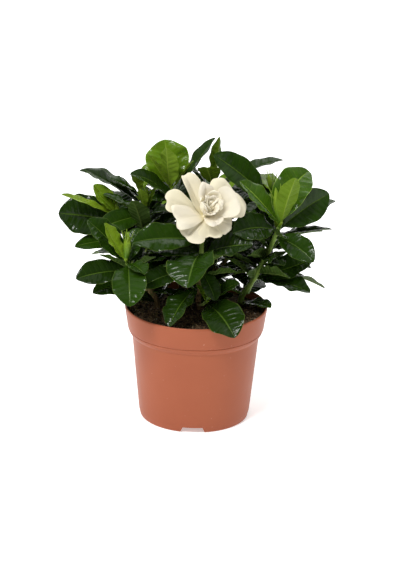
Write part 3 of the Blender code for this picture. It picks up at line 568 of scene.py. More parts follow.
cuttings["left_stem"] = dict(bark=(0.8, 0.15), shoots=[
    dict(foot=(-35, 3), radius=(2.9, 1.7),
         path=[(-46, -4, 126), (-58, -26, 145), (-62, -44, 161)], whorls=[
        (0.42, (335, -4, 44, 0.44), (150, -2, 46)),
        (0.55, (214, 0, 54, 0.36, 24, -40)),
        (0.80, (198, -3, 52, 0.46, 24, -46), (40, 8, 44)),
        (0.96, (188, 49, 55, 0.5, 16, -42), (275, -34, 49, 0.62, 60, 4),
         (298, -11, 30, 0.6), (62, 54, 34, 0.6)),
    ]),
    dict(path=[(-44, -2, 120), (-60, -4, 148), (-70, 0, 186)], radius=(2.2, 1.6), whorls=[
        (0.5, (150, -8, 42, 0.46)),
        (0.72, (205, 0, 49, 0.3, 20, -50), (75, 10, 46)),
        (0.95, (187, 10, 57, 0.66, 12, -58), (95, 18, 52)),
    ]),
    dict(path=[(-44, -3, 122), (-46, 4, 158), (-47, 6, 192)], radius=(2.0, 1.6), whorls=[
        (0.62, (247, 58, 54, 0.36, 10, 10), (105, 20, 48), (300, 12, 40, 0.42)),
        (0.84, (193, 32, 50, 0.34, 30), (30, 20, 44)),
        (0.95, (217, 3, 50, 0.42, 20, -56), (110, 30, 46)),
    ]),
])
cuttings["back_left_stem"] = dict(bark=(0.9, 0.2), shoots=[
    dict(foot=(-12, 22), radius=(2.6, 1.7),
         path=[(-14, 20, 140), (-16, 16, 178), (-24, 18, 208)], whorls=[
        ring(0.55, 70, 2, 0, 50),
        (0.84, (211, 45, 70, 0.28, 54, -36), (95, 20, 54)),
        (0.95, (8, 57, 67, 0.3, 10, 10), (140, 10, 40)),
    ]),
    dict(path=[(-13, 21, 120), (-34, 28, 158), (-52, 33, 199)], radius=(2.2, 1.6), whorls=[
        ring(0.62, 120, 2, 5, 50),
        (0.86, (203, 30, 76, 0.26, 8, -20)),
        (0.95, (170, 21, 64, 0.34, 24, -6), (222, 38, 46, 0.32, 20, -24)),
    ]),
    dict(path=[(-13, 22, 112), (-30, 50, 134), (-42, 74, 156)], radius=(2.2, 1.6), whorls=[
        ring(0.45, 170, 2, -5, 52),
        ring(0.92, 60, 3, 16, 58),
    ]),
])
cuttings["back_right_stem"] = dict(bark=(0.9, 0.1), shoots=[
    dict(foot=(16, 34), path=[(14, 36, 140), (12, 39, 175), (12, 40, 206)], radius=(2.6, 1.7), whorls=[
        ring(0.62, 100, 2, 0, 50),
        (0.80, (165, 35, 50), (330, 30, 48)),
        (0.95, (9, 25, 73, 0.32, 32), (110, 4, 52), (195, 60, 46, 0.36)),
    ]),
    dict(path=[(15, 35, 124), (40, 34, 152), (58, 28, 182), (66, 25, 205)], radius=(2.0, 1.5), whorls=[
        (0.62, (75, 5, 50)),
        (0.94, (190, 38, 68, 0.41, 12, -60), (40, 24, 46, 0.4), (118, 18, 50)),
    ]),
    dict(path=[(15, 35, 114), (18, 60, 138), (22, 82, 162)], radius=(2.2, 1.6), whorls=[
        ring(0.45, 30, 2, -5, 50),
        ring(0.92, 40, 3, 18, 58),
    ]),
])

# How fresh a leaf's green is, where it stands out from the rest of its stem
leafTones = {
    "front_stem": {0: 0.25, 4: 0.3, 5: 0.36, 10: 0.22},
    "left_stem": {5: 0.35, 6: 0.45, 7: 0.55, 15: 0.5},
}


def tubeRings(line, side, radiusAt, sides, rows):
    # the points of a tube along a line, how many each ring has, and where each one is on the tube
    points, marks = [], []
    for k in range(rows + 1):
        centre, direction = alongLine(line, k / rows)
        side = direction.cross(side.cross(direction)).normalized()
        other = direction.cross(side)
        for j in range(sides + 1):
            angle = 2 * pi * j / sides
            points.append(centre + turned(side, other, angle)[0] * radiusAt(k / rows, angle))
            marks.append((j / sides, k / rows))
    return points, sides + 1, marks


def shootMaterial():
    r = newMaterial("shootBark", 0.5, 0.2)
    bark = r.uv("tint")[0]
    streak = r.noise(1.0, 4, where=r.stretched((500, 500, 60)))
    woody = r.band(r.add(bark, r.times(r.math("SUBTRACT", streak, 0.5), 0.5)), 0.25, 0.6)
    green = r.mix(r.band(streak, 0.3, 0.7), (0.14, 0.24, 0.035), (0.24, 0.34, 0.07))
    brown = r.mix(r.band(streak, 0.35, 0.7), (0.045, 0.024, 0.010), (0.20, 0.135, 0.055))
    roughness = r.band(woody, 0, 1, 0.42, 0.85)
    return r.skin(r.mix(woody, green, brown), r.bump(streak, 0.7, 0.0006), Roughness=roughness)


shootBark = shootMaterial()


def makeStem(node, cutting):
    tree = nodeCorners(node)
    blades, wood = Sheet(), Sheet()
    number = found = inner = 0
    for order, shoot in enumerate(cutting["shoots"]):
        line = shootLine(shoot)
        foot, tip = shoot["radius"]
        knots = [at for at, *_ in shoot["whorls"]]
        total = sum((b - a).length for a, b in zip(line, line[1:]))

        def radiusAt(share, angle):
            swelling = sum(exp(-((share - at) * total / stemShape["knotLength"]) ** 2) for at in knots)
            ridge = 0.03 * sin(3 * angle + share * 9) + 0.02 * sin(share * 70 + angle)
            return (foot + (tip - foot) * share) * (1 + stemShape["knot"] * min(1, swelling) + ridge)

        tube = tubeRings(line, Vector(stemShape["side"]), radiusAt, stemShape["sides"], stemShape["rows"])
        low, high = cutting["bark"]
        start, gain = (0, 1) if order == 0 else (0.4, 0.6)  # a fork is as woody as the shoot it leaves
        wood.addGrid(*tube, [(low + (high - low) * (share * gain + start), 0) for _, share in tube[-1]])
        for at, *leaves in shoot["whorls"]:
            centre = alongLine(line, at)[0]
            for wanted in leaves:
                tone = 0.16 + 0.34 * Random(f"tone {node} {number}").random()
                tone = leafTones.get(node, {}).get(number, tone)
                shade = Random(f"shade {node} {number}").random() * 0.5
                radius = foot + (tip - foot) * at
                found += drawFound(blades, tree, node, number, centre, radius, wanted, (tone, shade))
                number += 1
        for stood in innerLeavesOf(line, shoot["radius"], f"inner {node} {order}"):
            inner += 1
            draw = Random(f"inner tone {node} {inner}")
            tint = draw.uniform(0, 0.3), draw.uniform(0.2, 0.7)
            drawLeaf(blades, *stood, tint, f"inner form {node} {inner}", innerLeaves["veins"])
    wood.make(node + "_shoots", [shootBark], node, "gardenia_leaf")
    blades.make(node + "_leaves", [leafTop, leafBack], node, "gardenia_leaf")
    print(node, "leaves", found, "of", number, "and", inner, "small ones")


# Each tip is a bud and its young leaves on the end of one shoot, which is numbered within its cutting
tips = {
    "left_front_tip": dict(
        shoot=("left_stem", 0), bud=26, lobes=5, lean=(60, 84), tones=(0.75,),
        leaves=[(183, 61, 40, 0.44, -12, -30)]),
    "left_outer_tip": dict(
        shoot=("left_stem", 1), bud=12, lobes=0, lean=(150, 70), tones=(0.7, 0.85, 0.6),
        leaves=[(168, 50, 37, 0.46, 8, -40), (205, 28, 62, 0.18, 8, -18), (192, 38, 32, 0.4, 8, -26)]),
    "left_upper_tip": dict(
        shoot=("left_stem", 2), bud=18, lobes=4, lean=(60, 85),
        leaves=[(240, 66, 24, 0.44, -10), (20, 66, 22, 0.44, -10)]),
    "small_front_tip": dict(
        shoot=("front_stem", 1), bud=12, lobes=4, lean=(60, 70),
        leaves=[(20, 50, 20, 0.4, 10), (150, 55, 18, 0.4, 10)]),
    "right_tip": dict(
        shoot=("right_stem", 0), bud=34, lobes=5, lean=(160, 80), tones=(0.85, 0.0, 0.0),
        leaves=[(300, 66, 55, 0.34, 12, -20), (46, 50, 60, 0.54, 74, 30), (177, 47, 54, 0.44, 12, -24)]),
    "right_back_tip": dict(
        shoot=("right_stem", 1), bud=14, lobes=4, lean=(50, 75),
        leaves=[(70, 48, 42, 0.46, 10), (250, 60, 34, 0.46, 10)]),
    "back_left_tip": dict(
        shoot=("back_left_stem", 0), bud=14, lobes=0, lean=(90, 86), tones=(0.45, 0.55, 0.6, 0.6),
        leaves=[(112, 65, 45, 0.88, 2, -20), (235, 79, 41, 0.5, -14), (335, 68, 37, 0.24, 6),
                (210, 62, 44, 0.3, 6)]),
    "back_left_inner_tip": dict(
        shoot=("back_left_stem", 1), bud=10, lobes=0, lean=(120, 80),
        leaves=[(60, 50, 32, 0.46, 10), (240, 60, 26, 0.46, 10)]),
    "back_left_outer_tip": dict(
        shoot=("back_left_stem", 2), bud=20, lobes=5, lean=(120, 78),
        leaves=[(60, 50, 46, 0.46, 10), (230, 55, 40, 0.46, 10)]),
    "back_right_tip": dict(
        shoot=("back_right_stem", 0), bud=26, lobes=5, lean=(20, 84), tones=(0.8, 0.9),
        leaves=[(352, 83, 46, 0.38, -6, -25), (263, 35, 49, 0.42, 10, 4)]),
    "right_upper_tip": dict(
        shoot=("back_right_stem", 1), bud=20, lobes=5, lean=(240, 62),
        leaves=[(100, 8, 38, 0.46, 10)]),
    "back_tip": dict(
        shoot=("back_right_stem", 2), bud=14, lobes=4, lean=(90, 75),
        leaves=[(80, 46, 46, 0.48, 10), (260, 56, 36, 0.46, 10)]),
}
youngTone, youngShade = 0.6, 0.1
budShape = dict(
    stalk=6.0, sink=3.0, swell=((0.3, 1.2, 0.09), (0.6, 1.0, 0.1), (0.85, 0.9, 0.04)), point=0.4,
    furrows=5, furrowDepth=0.10, twist=1.6, sides=30, rows=40, veins=8, leafThickness=0.45,
)
lobeShape = dict(
    turn=20, rise=78, seat=0.12, share=0.95, reach=(0.9, 0.8, 0.35), bend=20, rows=16,
    around=((-1, 0), (-0.6, -0.55), (0, -0.95), (0.6, -0.55), (1, 0), (0.5, 0.12), (0, 0.0), (-0.5, 0.12),
            (-1, 0)),
)


def budMaterial():
    r = newMaterial("youngBud", 0.35, 0.2, 0.1, (0.6, 1.0, 0.2))
    along = r.uv("blade")[1]
    colour = r.layers(
        (0.075, 0.16, 0.010),
        (r.band(along, 0.1, 0.75), (0.19, 0.29, 0.022)),
        (r.band(r.noise(260, 4), 0.4, 0.75, 0, 0.35), (0.06, 0.14, 0.008)))
    return r.skin(colour, r.bump(r.noise(900, 3), 0.3, 0.0003))


youngBud = budMaterial()


def drawSpindle(sheet, foot, axis, profile, sides, rows, twist=0.0, furrows=0, depth=0.0, tint=(0.7, 0)):
    far, radii = zip(*profile)

    def radiusAt(share, angle):
        # the profile's corners are eased by what lies a little before and after
        near = [np.interp((share + d) * far[-1], far, radii) for d in (0, -0.06, -0.03, 0.03, 0.06)]
        reach = sum(near) / len(near)
        if share > 0.9:
            reach *= sqrt(max(0.02, 1 - ((share - 0.9) / 0.1) ** 2))
        if furrows:
            reach *= 1 - depth * abs(sin(furrows * (angle + twist * share * 2) / 2)) ** 0.5
        return reach

    side = axis.cross(Vector((0.3, 0.5, 1)))
    sheet.addGrid(*tubeRings([foot, foot + axis * far[-1]], side, radiusAt, sides, rows), tint)


def drawLobe(sheet, foot, heading, rise, length):
    # a narrow calyx lobe that arches to a point
    rows, around = lobeShape["rows"], lobeShape["around"]
    t = np.linspace(0, 1, rows + 1)
    centre, side, up = leafFrames(foot, leaf(heading, rise, length, bend=lobeShape["bend"]), t)
    reach = np.interp(t, (0, 0.5, 1), lobeShape["reach"])
    points = [centre[i] + side[i] * (a * reach[i]) + up[i] * (b * (reach[i] + 0.1))
              for i in range(rows + 1) for a, b in around]
    marks = [(j / (len(around) - 1), t[i] * 0.6 + 0.2) for i in range(rows + 1) for j in range(len(around))]
    sheet.addGrid(points, len(around), marks, (0.7, 0))


def shootEnd(cutting, index):
    shoot = cuttings[cutting]["shoots"][index]
    return *alongLine(shootLine(shoot), 1.0), shoot["radius"][1]


def makeTip(node, tip):
    end, direction, radius = shootEnd(*tip["shoot"])
    foot = end + direction * seatGap
    heading, rise = tip["lean"]
    axis = directionOf(heading, rise)
    size = tip["bud"]
    buds, blades = Sheet(), Sheet()
    drawSpindle(buds, foot, direction, [(0, radius), (budShape["stalk"], radius * 0.8)], 14, 8)
    top = foot + direction * budShape["sink"]
    profile = [(0, radius * 0.7)] + [(size * s, base + size * more) for s, base, more in budShape["swell"]]
    drawSpindle(buds, top, axis, profile + [(size, budShape["point"])], budShape["sides"], budShape["rows"],
                budShape["twist"], budShape["furrows"], budShape["furrowDepth"])
    for k in range(tip["lobes"]):
        turn = lobeShape["turn"] + 360 * k / tip["lobes"]
        lean = (90 - rise) * cos(radians(turn - heading))
        drawLobe(buds, top + axis * (size * lobeShape["seat"]), turn, lobeShape["rise"] - lean,
                 size * lobeShape["share"])
    tree = nodeCorners(node)
    centre = end + direction * placing["tipLift"]
    found = 0
    tones = tip.get("tones", (youngTone,) * len(tip["leaves"]))
    for number, (tone, wanted) in enumerate(zip(tones, tip["leaves"])):
        found += drawFound(blades, tree, node, number, centre, radius, wanted, (tone, youngShade),
                           budShape["veins"], budShape["leafThickness"])
    buds.make(node + "_bud", [youngBud], node, "young_leaf")
    blades.make(node + "_leaves", [youngTop, youngBack], node, "young_leaf")
    print(node, "young leaves", found, "of", len(tip["leaves"]))


for node, cutting in cuttings.items():
    makeStem(node, cutting)
for node, tip in tips.items():
    makeTip(node, tip)

bloomShape = dict(
    heading=292, rise=42, heartTurn=4, heartRise=12, heartRuffle=1.3, heartRoll=0.9, outer=7,
    calyxLength=9.0, calyxRadius=3.6, tubeLength=7.2, tubeRadii=(2.6, 3.6), petalSeat=(4.8, 3.6),
    core=((0, 2.4), (4, 4.2), (8, 2.6), (16, 0.8)), coreDown=4, thickness=0.7, least=0.12,
    rows=34, across=23, wave=0.06, ruffle=0.10, frill=0.07, curl=0.26, curlFrom=0.6, tipRoll=52,
    tipFrom=0.8, crease=0.10,
)
calyxLobe = dict(count=5, first=40, rise=-4, length=15, out=2.0, down=3.0)


def petal(clock, opens, length, width, cup=0.1, lift=0.0, roll=6.0, fold=0.0, point=8.0):
    return dict(clock=clock, opens=opens, length=length, width=width, cup=cup, lift=lift, roll=roll,
                fold=fold, point=point)


petals = [
    # outer whorl
    petal(150, (58, 92), 42, 25), petal(113, (50, 80), 43, 22, 0.35, 1.0, fold=0.5, point=3.2),
    petal(45, (58, 90), 42, 25), petal(10, (60, 92), 42, 23, 0.05, 1.0),
    petal(332, (62, 96), 27, 20), petal(264, (58, 92), 24, 25, 0.1, 1.0),
    petal(221, (58, 92), 33, 27, 0.05),
    # second whorl
    petal(185, (54, 82), 37, 26, 0.25, 2.0), petal(10, (30, 60), 36, 30, 0.7, 3.0),
    petal(90, (34, 58), 32, 18, 0.4, 3.0, fold=0.3, point=4.0),
    petal(282, (30, 54), 24, 16, 0.3, 3.0, fold=0.25),
    # heart
    petal(40, (8, 30), 27, 16, 0.9, 4.0), petal(148, (10, 30), 26, 15, 0.8, 4.0, fold=0.2),
    petal(255, (10, 28), 22, 14, 0.6, 4.0, fold=0.2, point=4.0), petal(330, (6, 20), 24, 12, 0.9, 4.0),
]
# Rolled petals of the heart, from the middle outwards, each wrapped round the one before it
rolledPetals = [
    petal(200, (8, 0), 24, 11, 2.6, 3.0), petal(340, (16, 2), 25, 16, 2.2, 3.0),
    petal(118, (22, 4), 24, 19, 2.0, 3.0), petal(255, (26, 8), 21, 19, 1.7, 3.0, fold=0.1),
    petal(30, (28, 12), 27, 24, 1.6, 3.0), petal(170, (30, 18), 23, 21, 1.4, 3.0, fold=0.2, point=4.0),
    petal(300, (32, 26), 22, 20, 1.2, 3.0),
]


def petalMaterial():
    r = newMaterial("ivoryPetal", 0.6, 0.2)
    across, along = r.uv("blade")
    age, heart = r.uv("tint")
    side = r.fromMiddle(across)
    veins = r.noise(1.0, 3, where=r.stretched((26, 3, 1), r.uvMap("blade")))
    colour = r.layers(
        (0.785, 0.725, 0.60),
        (r.band(age, 0, 1), (0.745, 0.69, 0.505)),
        (r.band(along, 0.0, 0.35, 0.7, 0), (0.80, 0.71, 0.36)),
        (r.band(r.noise(120, 3), 0.45, 0.8, 0, 0.3), (0.77, 0.70, 0.52)),
        (r.times(r.band(side, 0.40, 0.5), r.band(age, 0.3, 0.9, 0.1, 0.45)), (0.76, 0.69, 0.44)),
        # painted light: the heart's rolled petals and core are painted a lighter cream, standing in for
        # light that passes through the thin petals
        (heart, (0.97, 0.91, 0.74)),
        (r.band(veins, 0.45, 0.75, 0, 0.16), (0.73, 0.67, 0.50)))
    height = r.add(r.times(veins, 0.7), r.times(r.noise(1500, 3), 0.3))
    return r.skin(colour, r.bump(height, 0.4, 0.0004))


def drawPetal(sheet, centre, axes, one, number, inner=False):
    shape = bloomShape
    axis, right, up = axes
    outward = turned(right, up, radians(one["clock"]))[0]
    across = axis.cross(outward)
    half, length = one["width"] / 2, one["length"]
    rows, columns = shape["rows"], shape["across"]
    draw = Random(f"petal {number}")
    phase, beat, notch = draw.uniform(0, 6), draw.uniform(3.5, 5.5), draw.uniform(-0.4, 0.4)
    ruffle = shape["ruffle"] * (shape["heartRuffle"] if inner else 1.0)
    tipRoll = shape["tipRoll"] * (shape["heartRoll"] if inner else 1.0)
    arc = max(0.02, one["cup"])
    centre = centre + axis * one["lift"]
    top, low, marks = [], [], []
    before = 0.0
    for k in range(rows + 1):
        share = 1 - (1 - k / rows) ** 1.5  # closer rows near the end
        opens = one["opens"][0] + (one["opens"][1] - one["opens"][0]) * share
        tip = max(0.0, (share - shape["tipFrom"]) / (1 - shape["tipFrom"]))
        ahead, inward = turned(outward, axis, radians(90 - opens - tipRoll * tip ** 2))
        centre = centre + ahead * (length * (share - before))
        before = share
        side, lifted = turned(across, inward, radians(one["roll"]))
        reach = half * max(shape["least"], share ** 0.7 * sqrt(max(0.0, 1 - share ** one["point"])) / 0.76)
        for j in range(columns):
            v = -1 + 2 * j / (columns - 1)
            edge = abs(v)
            bend = (1 - cos(v * arc)) / arc + one["fold"] * edge * share
            bend += shape["wave"] * sin(6 * share + 3 * v + number)
            bend += ruffle * share ** 1.5 * sin(beat * v + phase) * (0.3 + edge)
            bend += shape["frill"] * edge ** 3 * sin(11 * share + 2 * phase + (2 if v > 0 else 0))
            bend -= shape["curl"] * max(0.0, edge - shape["curlFrom"]) ** 2 * 6 * share
            crease = exp(-((v - 0.1 * notch) / 0.12) ** 2) * share * (1 - share) * 4
            bend -= shape["crease"] * crease
            thick = shape["thickness"] / 2 * sqrt(max(0.0, 1 - edge ** 10)) * (1 - 0.6 * share ** 6)
            # an uneven end: one shoulder stands further out, with a shallow dip between
            place = v * reach / half
            push = 0.04 * sin(3 * place + phase) - 0.05 * exp(-((place - notch) / 0.25) ** 2)
            spot = centre + side * (reach * sin(v * arc) / arc) + lifted * (reach * bend)
            spot = spot + ahead * (length * push * share ** 4)
            top.append(spot + lifted * thick)
            low.append(spot - lifted * thick)
            marks.append((v * 0.5 + 0.5, share))
    age = (0.75 if number < shape["outer"] else 0.3) + draw.uniform(-0.2, 0.2)
    # rolled petals carry the heart flag, which brings in the heart's painted light
    for points, flip in ((top, False), (low, True)):
        sheet.addGrid(points, columns, marks, (age, float(inner)), flip=flip)


def bloomAxes(heading, rise):
    axis = directionOf(heading, rise)
    right = Vector((0, 0, 1)).cross(axis).normalized()
    return axis, right, axis.cross(right)


def makeBloom():
    shape = bloomShape
    end, direction, radius = shootEnd("front_stem", 0)
    foot = end + direction * seatGap
    cup = Sheet()
    calyx = [(0, radius), (2, radius), (shape["calyxLength"], shape["calyxRadius"])]
    drawSpindle(cup, foot, direction, calyx, 20, 16)
    for k in range(calyxLobe["count"]):
        heading = calyxLobe["first"] + 360 * k / calyxLobe["count"]
        seat = foot + direction * (shape["calyxLength"] - calyxLobe["down"])
        drawLobe(cup, seat + directionOf(heading, 0) * calyxLobe["out"], heading, calyxLobe["rise"],
                 calyxLobe["length"])
    cup.make("bloom_cup", [youngBud], "bloom_calyx", "young_leaf")
    axes = bloomAxes(shape["heading"], shape["rise"])
    seat = end + direction * (shape["calyxLength"] + 2 * seatGap)
    petalFoot = seat + direction * shape["petalSeat"][0] + axes[0] * shape["petalSeat"][1]
    flower = Sheet()
    tube = [(0, shape["tubeRadii"][0]), (shape["tubeLength"], shape["tubeRadii"][1])]
    drawSpindle(flower, seat, direction, tube, 20, 10, tint=(0.8, 0))
    # the core is flagged as part of the heart, so it takes the heart's painted light
    drawSpindle(flower, petalFoot - axes[0] * shape["coreDown"], axes[0], shape["core"], 24, 20, twist=1.5,
                furrows=3, depth=0.3, tint=(0.5, 1))
    for number, one in enumerate(petals):
        drawPetal(flower, petalFoot, axes, one, number)
    axes = bloomAxes(shape["heading"] + shape["heartTurn"], shape["rise"] + shape["heartRise"])
    for number, one in enumerate(rolledPetals, len(petals)):
        drawPetal(flower, petalFoot, axes, one, number, inner=True)
    flower.make("bloom_petals", [petalMaterial()], "bloom", "ivory_petal")
    print("bloom petals", len(petals), "and", len(rolledPetals), "rolled ones")


makeBloom()

potShape = dict(
    outline=((64.4, 106.0), (65.0, 104.8), (62.0, 85.0), (60.4, 81.4), (58.0, 78.5), (50.9, 6.0),
             (49.8, 1.0), (48.9, 0.0)),
    groove=((62.9, 91.0), (62.0, 85.1), (61.1, 84.8), (61.1, 84.3), (61.5, 84.0)),  # at the rim's lower edge
    wall=1.5, innerShoulder=(56.5, 79.3), footWidth=2.4, floor=5.2, floorThickness=1.6, sides=144,
    notches=4, notchWidths=(24.0, 18.0), notchDepth=(41.8, 53.8), notchTurn=269.0,
    drains=6, drainRadius=4.0, drainCircle=32.0, drainSides=24, cutBelow=2, cutPast=3, sharp=32,
)


def outerRadius(height):
    outline = potShape["outline"]
    for (highR, high), (lowR, low) in zip(outline, outline[1:]):
        if low <= height <= high:
            return lowR + (highR - lowR) * (height - low) / (high - low)


def innerRadius(height):
    return outerRadius(height) - potShape["wall"]


def rounded(points, size=0.7, steps=3):
    # the same line with each corner eased over a short length
    line = [points[0]]
    for before, here, after in zip(points, points[1:], points[2:]):
        a, b, c = (Vector(p) for p in (before, here, after))
        cutA = min(size, (a - b).length * 0.4)
        cutC = min(size, (c - b).length * 0.4)
        start, stop = b + (a - b).normalized() * cutA, b + (c - b).normalized() * cutC
        for k in range(steps + 1):
            t = k / steps
            line.append(tuple(start.lerp(b, t).lerp(b.lerp(stop, t), t)))
    return line + [points[-1]]


def circle(radius, height, sides):
    angles = [2 * pi * j / sides for j in range(sides)]
    return [(radius * cos(angle), radius * sin(angle), height) for angle in angles]


def ringFaces(rows, sides):
    # faces between rings that close round an axis
    faces = []
    for i in range(rows - 1):
        for j in range(sides):
            after = (j + 1) % sides
            low, high = i * sides, (i + 1) * sides
            faces.append((low + j, low + after, high + after, high + j))
    return faces


def plainPiece(name, points, faces):
    # all its faces are turned outwards
    mesh = bpy.data.meshes.new(name)
    mesh.from_pydata(toScene(points).tolist(), [], faces)
    shape = bmesh.new()
    shape.from_mesh(mesh)
    bmesh.ops.remove_doubles(shape, verts=shape.verts, dist=1e-6)
    bmesh.ops.recalc_face_normals(shape, faces=shape.faces)
    shape.to_mesh(mesh)
    shape.free()
    return addObject(name, mesh)


def cutAway(piece, cutters):
    for cutter in cutters:
        cut = piece.modifiers.new("cut", "BOOLEAN")
        cut.operation = "DIFFERENCE"
        cut.solver = "EXACT"
        cut.object = cutter
    graph = bpy.context.evaluated_depsgraph_get()
    mesh = bpy.data.meshes.new_from_object(piece.evaluated_get(graph))
    piece.modifiers.clear()
    piece.data = mesh
    for cutter in cutters:
        bpy.data.objects.remove(cutter)


def coat(piece, material):
    piece.data.materials.clear()
    piece.data.materials.append(material)
    for polygon in piece.data.polygons:
        polygon.use_smooth = True


def potMaterial():
    r = newMaterial("terracottaPlastic", 0.42, 0.14)
    clouds = r.noise(18, 3)
    fine = r.noise(1500, 4, rough=0.6)
    rub = r.noise(1.0, 5, where=r.stretched((60, 60, 9)), rough=0.6)
    colour = r.layers(
        (0.345, 0.098, 0.048),
        (r.band(clouds, 0.3, 0.7), (0.37, 0.107, 0.052)),
        (r.band(rub, 0.6, 0.8, 0, 0.12), (0.60, 0.27, 0.17)),
        (r.band(r.noise(330, 2), 0.73, 0.78, 0, 0.45), (0.62, 0.36, 0.27)))
    height = r.add(fine, r.times(clouds, 2.0))
    return r.skin(colour, r.bump(height, 0.12, 0.0003), Roughness=r.add(r.times(rub, 0.16), 0.34))


def makePot():
    shape = potShape
    outline = list(shape["outline"])
    floor, floorTop = shape["floor"], shape["floor"] + shape["floorThickness"]
    rimTop, rimWide, rimLow = (height for _, height in outline[:3])
    inside = [(0, floorTop), (innerRadius(floorTop), floorTop), shape["innerShoulder"],
              (innerRadius(rimLow), rimLow), (innerRadius(rimWide), rimWide), (innerRadius(rimWide), rimTop)]
    under = [(outline[-1][0] - shape["footWidth"], 0), (innerRadius(floor), floor), (0, floor)]
    profile = rounded(inside + outline[:2] + list(shape["groove"]) + outline[3:] + under)
    points = [spot for radius, height in profile for spot in circle(radius, height, shape["sides"])]
    pot = plainPiece("pot_shell", points, ringFaces(len(profile), shape["sides"]))
    cutters = []
    (x0, x1), (bottom, top) = shape["notchDepth"], (width / 2 for width in shape["notchWidths"])
    corners = [(x, side * half, z) for z, half in ((-shape["cutBelow"], bottom), (floor, top))
               for x, side in ((x0, -1), (x1, -1), (x1, 1), (x0, 1))]
    boxFaces = [(0, 1, 2, 3), (4, 5, 6, 7), (0, 1, 5, 4), (1, 2, 6, 5), (2, 3, 7, 6), (3, 0, 4, 7)]
    for k in range(shape["notches"]):
        spin = Matrix.Rotation(radians(shape["notchTurn"] + k * 90), 3, "Z")
        cutters.append(plainPiece("notch", [spin @ Vector(c) for c in corners], boxFaces))
    sides = shape["drainSides"]
    holeFaces = [tuple(range(sides)), tuple(range(sides, 2 * sides))] + ringFaces(2, sides)
    ends = floor - shape["cutPast"], floorTop + shape["cutPast"]
    for x, y, _ in circle(shape["drainCircle"], 0, shape["drains"]):
        rings = [(x + across, y + along, z) for z in ends
                 for across, along, _ in circle(shape["drainRadius"], 0, sides)]
        cutters.append(plainPiece("drain", rings, holeFaces))
    cutAway(pot, cutters)
    coat(pot, potMaterial())
    pot.data.set_sharp_from_angle(angle=radians(shape["sharp"]))
    dress(pot, "pot")
    print("pot", len(pot.data.polygons), "faces")


makePot()

soilShape = dict(level=98.5, mound=4.0, rings=70, sides=180, lumps=1.3, grit=0.7, grain=0.45, edgeDrop=0.6,
                 crumbs=1100, seed=11)


def soilTop(x, y, edge):
    high = soilShape["level"] + soilShape["mound"] * cos(min(1, hypot(x, y) / edge) * pi / 2)
    for size, step, layer in (("lumps", 0.09, 1.0), ("grit", 0.35, 4.0), ("grain", 1.1, 7.0)):
        high += soilShape[size] * noise.noise(Vector((x * step, y * step, layer)))
    return high


def soilMaterial():
    r = newMaterial("darkPeat", 0.95, 0.2)
    lumps = r.noise(260, 6, rough=0.7)
    fine = r.noise(1300, 5, rough=0.7)
    colour = r.layers(
        (0.032, 0.019, 0.011),
        (r.band(lumps, 0.35, 0.7), (0.19, 0.115, 0.060)),
        (r.band(fine, 0.66, 0.75, 0, 0.6), (0.34, 0.25, 0.14)))
    return r.skin(colour, r.bump(r.add(lumps, r.times(fine, 0.5)), 0.9, 0.0012))


def crumbMaterial():
    r = newMaterial("peatCrumbs", 0.9, 0.25)
    kind = r.uv("tint")[0]
    colour = r.layers(
        (0.034, 0.020, 0.012),
        (r.band(kind, 0.25, 0.45), (0.20, 0.115, 0.055)),
        (r.band(kind, 0.62, 0.72), (0.36, 0.26, 0.14)),
        (r.band(kind, 0.88, 0.93), (0.62, 0.58, 0.50)),
        (r.times(r.noise(1400, 4), 0.6), (0.02, 0.012, 0.008)))
    return r.skin(colour, r.bump(r.noise(2200, 4), 0.8, 0.0006))


def makeSoil():
    sides, rings = soilShape["sides"], soilShape["rings"]
    edge = innerRadius(soilShape["level"]) - seatGap
    floorTop = potShape["floor"] + potShape["floorThickness"] + seatGap
    shoulder, rimLow = potShape["innerShoulder"], potShape["outline"][2][1]
    wall = [(0.0, floorTop), (innerRadius(floorTop) - seatGap, floorTop),
            (shoulder[0] - seatGap, shoulder[1]), (innerRadius(rimLow) - seatGap, rimLow)]
    points = [spot for radius, height in wall for spot in circle(radius, height, sides)]
    for i in range(rings + 1):
        drop = 0 if i else soilShape["edgeDrop"]
        around = circle(edge * (1 - i / rings), 0, sides)
        points += [(x, y, soilTop(x, y, edge) - drop) for x, y, _ in around]
    bed = plainPiece("soil_bed", points, ringFaces(len(wall) + rings + 1, sides))
    coat(bed, soilMaterial())
    dress(bed, "soil")

    draw = Random(soilShape["seed"])
    ball = bmesh.new()
    bmesh.ops.create_icosphere(ball, subdivisions=1, radius=1)
    ballPoints = np.array([v.co[:] for v in ball.verts])
    ballFaces = [tuple(v.index for v in f.verts) for f in ball.faces]
    ball.free()
    crumbs = Sheet()
    for _ in range(soilShape["crumbs"]):
        angle, radius = draw.uniform(0, 2 * pi), (edge - 1.5) * sqrt(draw.random())
        x, y = radius * cos(angle), radius * sin(angle)
        kind = draw.random()
        size = draw.uniform(0.35, 1.0) * (1.6 if kind < 0.5 else 1.0) * (0.8 if kind > 0.9 else 1.0)
        stretch = np.array([draw.uniform(0.7, 2.2) if kind < 0.88 else 1.1, draw.uniform(0.6, 1.1),
                            draw.uniform(0.5, 0.9)])
        bumps = np.array([1 + draw.uniform(-0.25, 0.25) for _ in ballPoints])[:, None]
        turn = Matrix.Rotation(draw.uniform(0, 6.3), 3, "Z")
        spin = np.array(turn @ Matrix.Rotation(draw.uniform(-0.6, 0.6), 3, "Y"))
        spot = np.array((x, y, soilTop(x, y, edge) + size * 0.25))
        body = (ballPoints * bumps * stretch * size) @ spin.T + spot
        crumbs.add(body, ballFaces, np.zeros((len(body), 2)), (kind, draw.random()))
    crumbs.make("soil_crumbs", [crumbMaterial()], "soil", "peat_soil", smooth=False)
    print("soil crumbs", soilShape["crumbs"])


makeSoil()

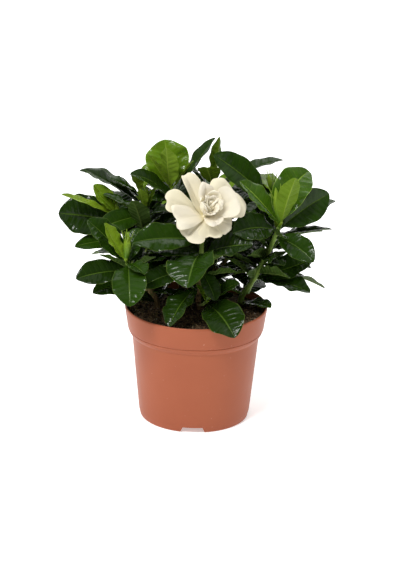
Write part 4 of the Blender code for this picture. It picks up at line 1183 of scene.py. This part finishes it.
studio = dict(
    floor=(0.95, 0.95, 0.95), size=14, glow=0.4, front=0.12, back=0.75, fade=(-0.5, 1.0),
    sun=1.75, sunFrom=(-0.4, -0.8, 1.25), sunSize=14, aim=(0, 0, 0.15),
    lamps=dict(top=((0.3, 0.9, 1.3), 1.2, 9.0), key=((-0.6, -0.75, 1.0), 0.22, 3.2)),
)
view = dict(target=(3.1, 0.0, 124.7), distance=2.1, down=19.8, tilt=1.245, lens=146.1)


def makeFloor():
    bpy.ops.mesh.primitive_plane_add(size=studio["size"], location=(0, 0, 0))
    floor = bpy.context.object
    floor.name = "studio_floor"
    # a glow of its own keeps the shadow on the floor faint
    made = newMaterial("paleFloor", 0.9, 0.1).finish(
        Base_Color=(*studio["floor"], 1), Emission_Color=(1, 1, 1, 1), Emission_Strength=studio["glow"])
    floor.data.materials.append(made)


def makeDaylight():
    # soft, and brighter above and behind the plant than in front of it
    world = bpy.data.worlds.new("studio")
    bpy.context.scene.world = world
    r = Recipe(world, "Background", Color=(1, 1, 1, 1))
    where = r.node("ShaderNodeSeparateXYZ", Vector=r.place("Generated")).outputs
    height = r.add(where["Y"], where["Z"])
    r.finish(Strength=r.band(height, *studio["fade"], studio["front"], studio["back"]))


def makeLamps():
    sun = addObject("sun", bpy.data.lights.new("sun", "SUN"))
    sun.data.energy = studio["sun"]
    sun.data.angle = radians(studio["sunSize"])
    sun.rotation_euler = Vector(studio["sunFrom"]).to_track_quat("Z", "Y").to_euler()
    for name, (place, size, power) in studio["lamps"].items():
        lamp = addObject(name, bpy.data.lights.new(name, "AREA"))
        lamp.data.size = size
        lamp.data.energy = power
        lamp.location = place
        lamp.rotation_euler = (Vector(place) - Vector(studio["aim"])).to_track_quat("Z", "Y").to_euler()
    bpy.context.scene.view_settings.view_transform = "Standard"


def makeCamera():
    camera = addObject("camera", bpy.data.cameras.new("camera"))
    camera.data.lens = view["lens"]
    camera.data.sensor_width = 36
    camera.data.clip_end = 50
    down, tilt = radians(view["down"]), radians(view["tilt"])
    ahead = Vector((0, cos(down), -sin(down)))
    right = Vector((1, 0, 0))
    right, up = turned(right, right.cross(ahead), tilt)
    place = Matrix((right, up, -ahead)).transposed().to_4x4()
    place.translation = Vector(toScene(view["target"])) - ahead * view["distance"]
    camera.matrix_world = place
    bpy.context.scene.camera = camera


makeFloor()
makeDaylight()
makeLamps()
makeCamera()

print("all pieces made")
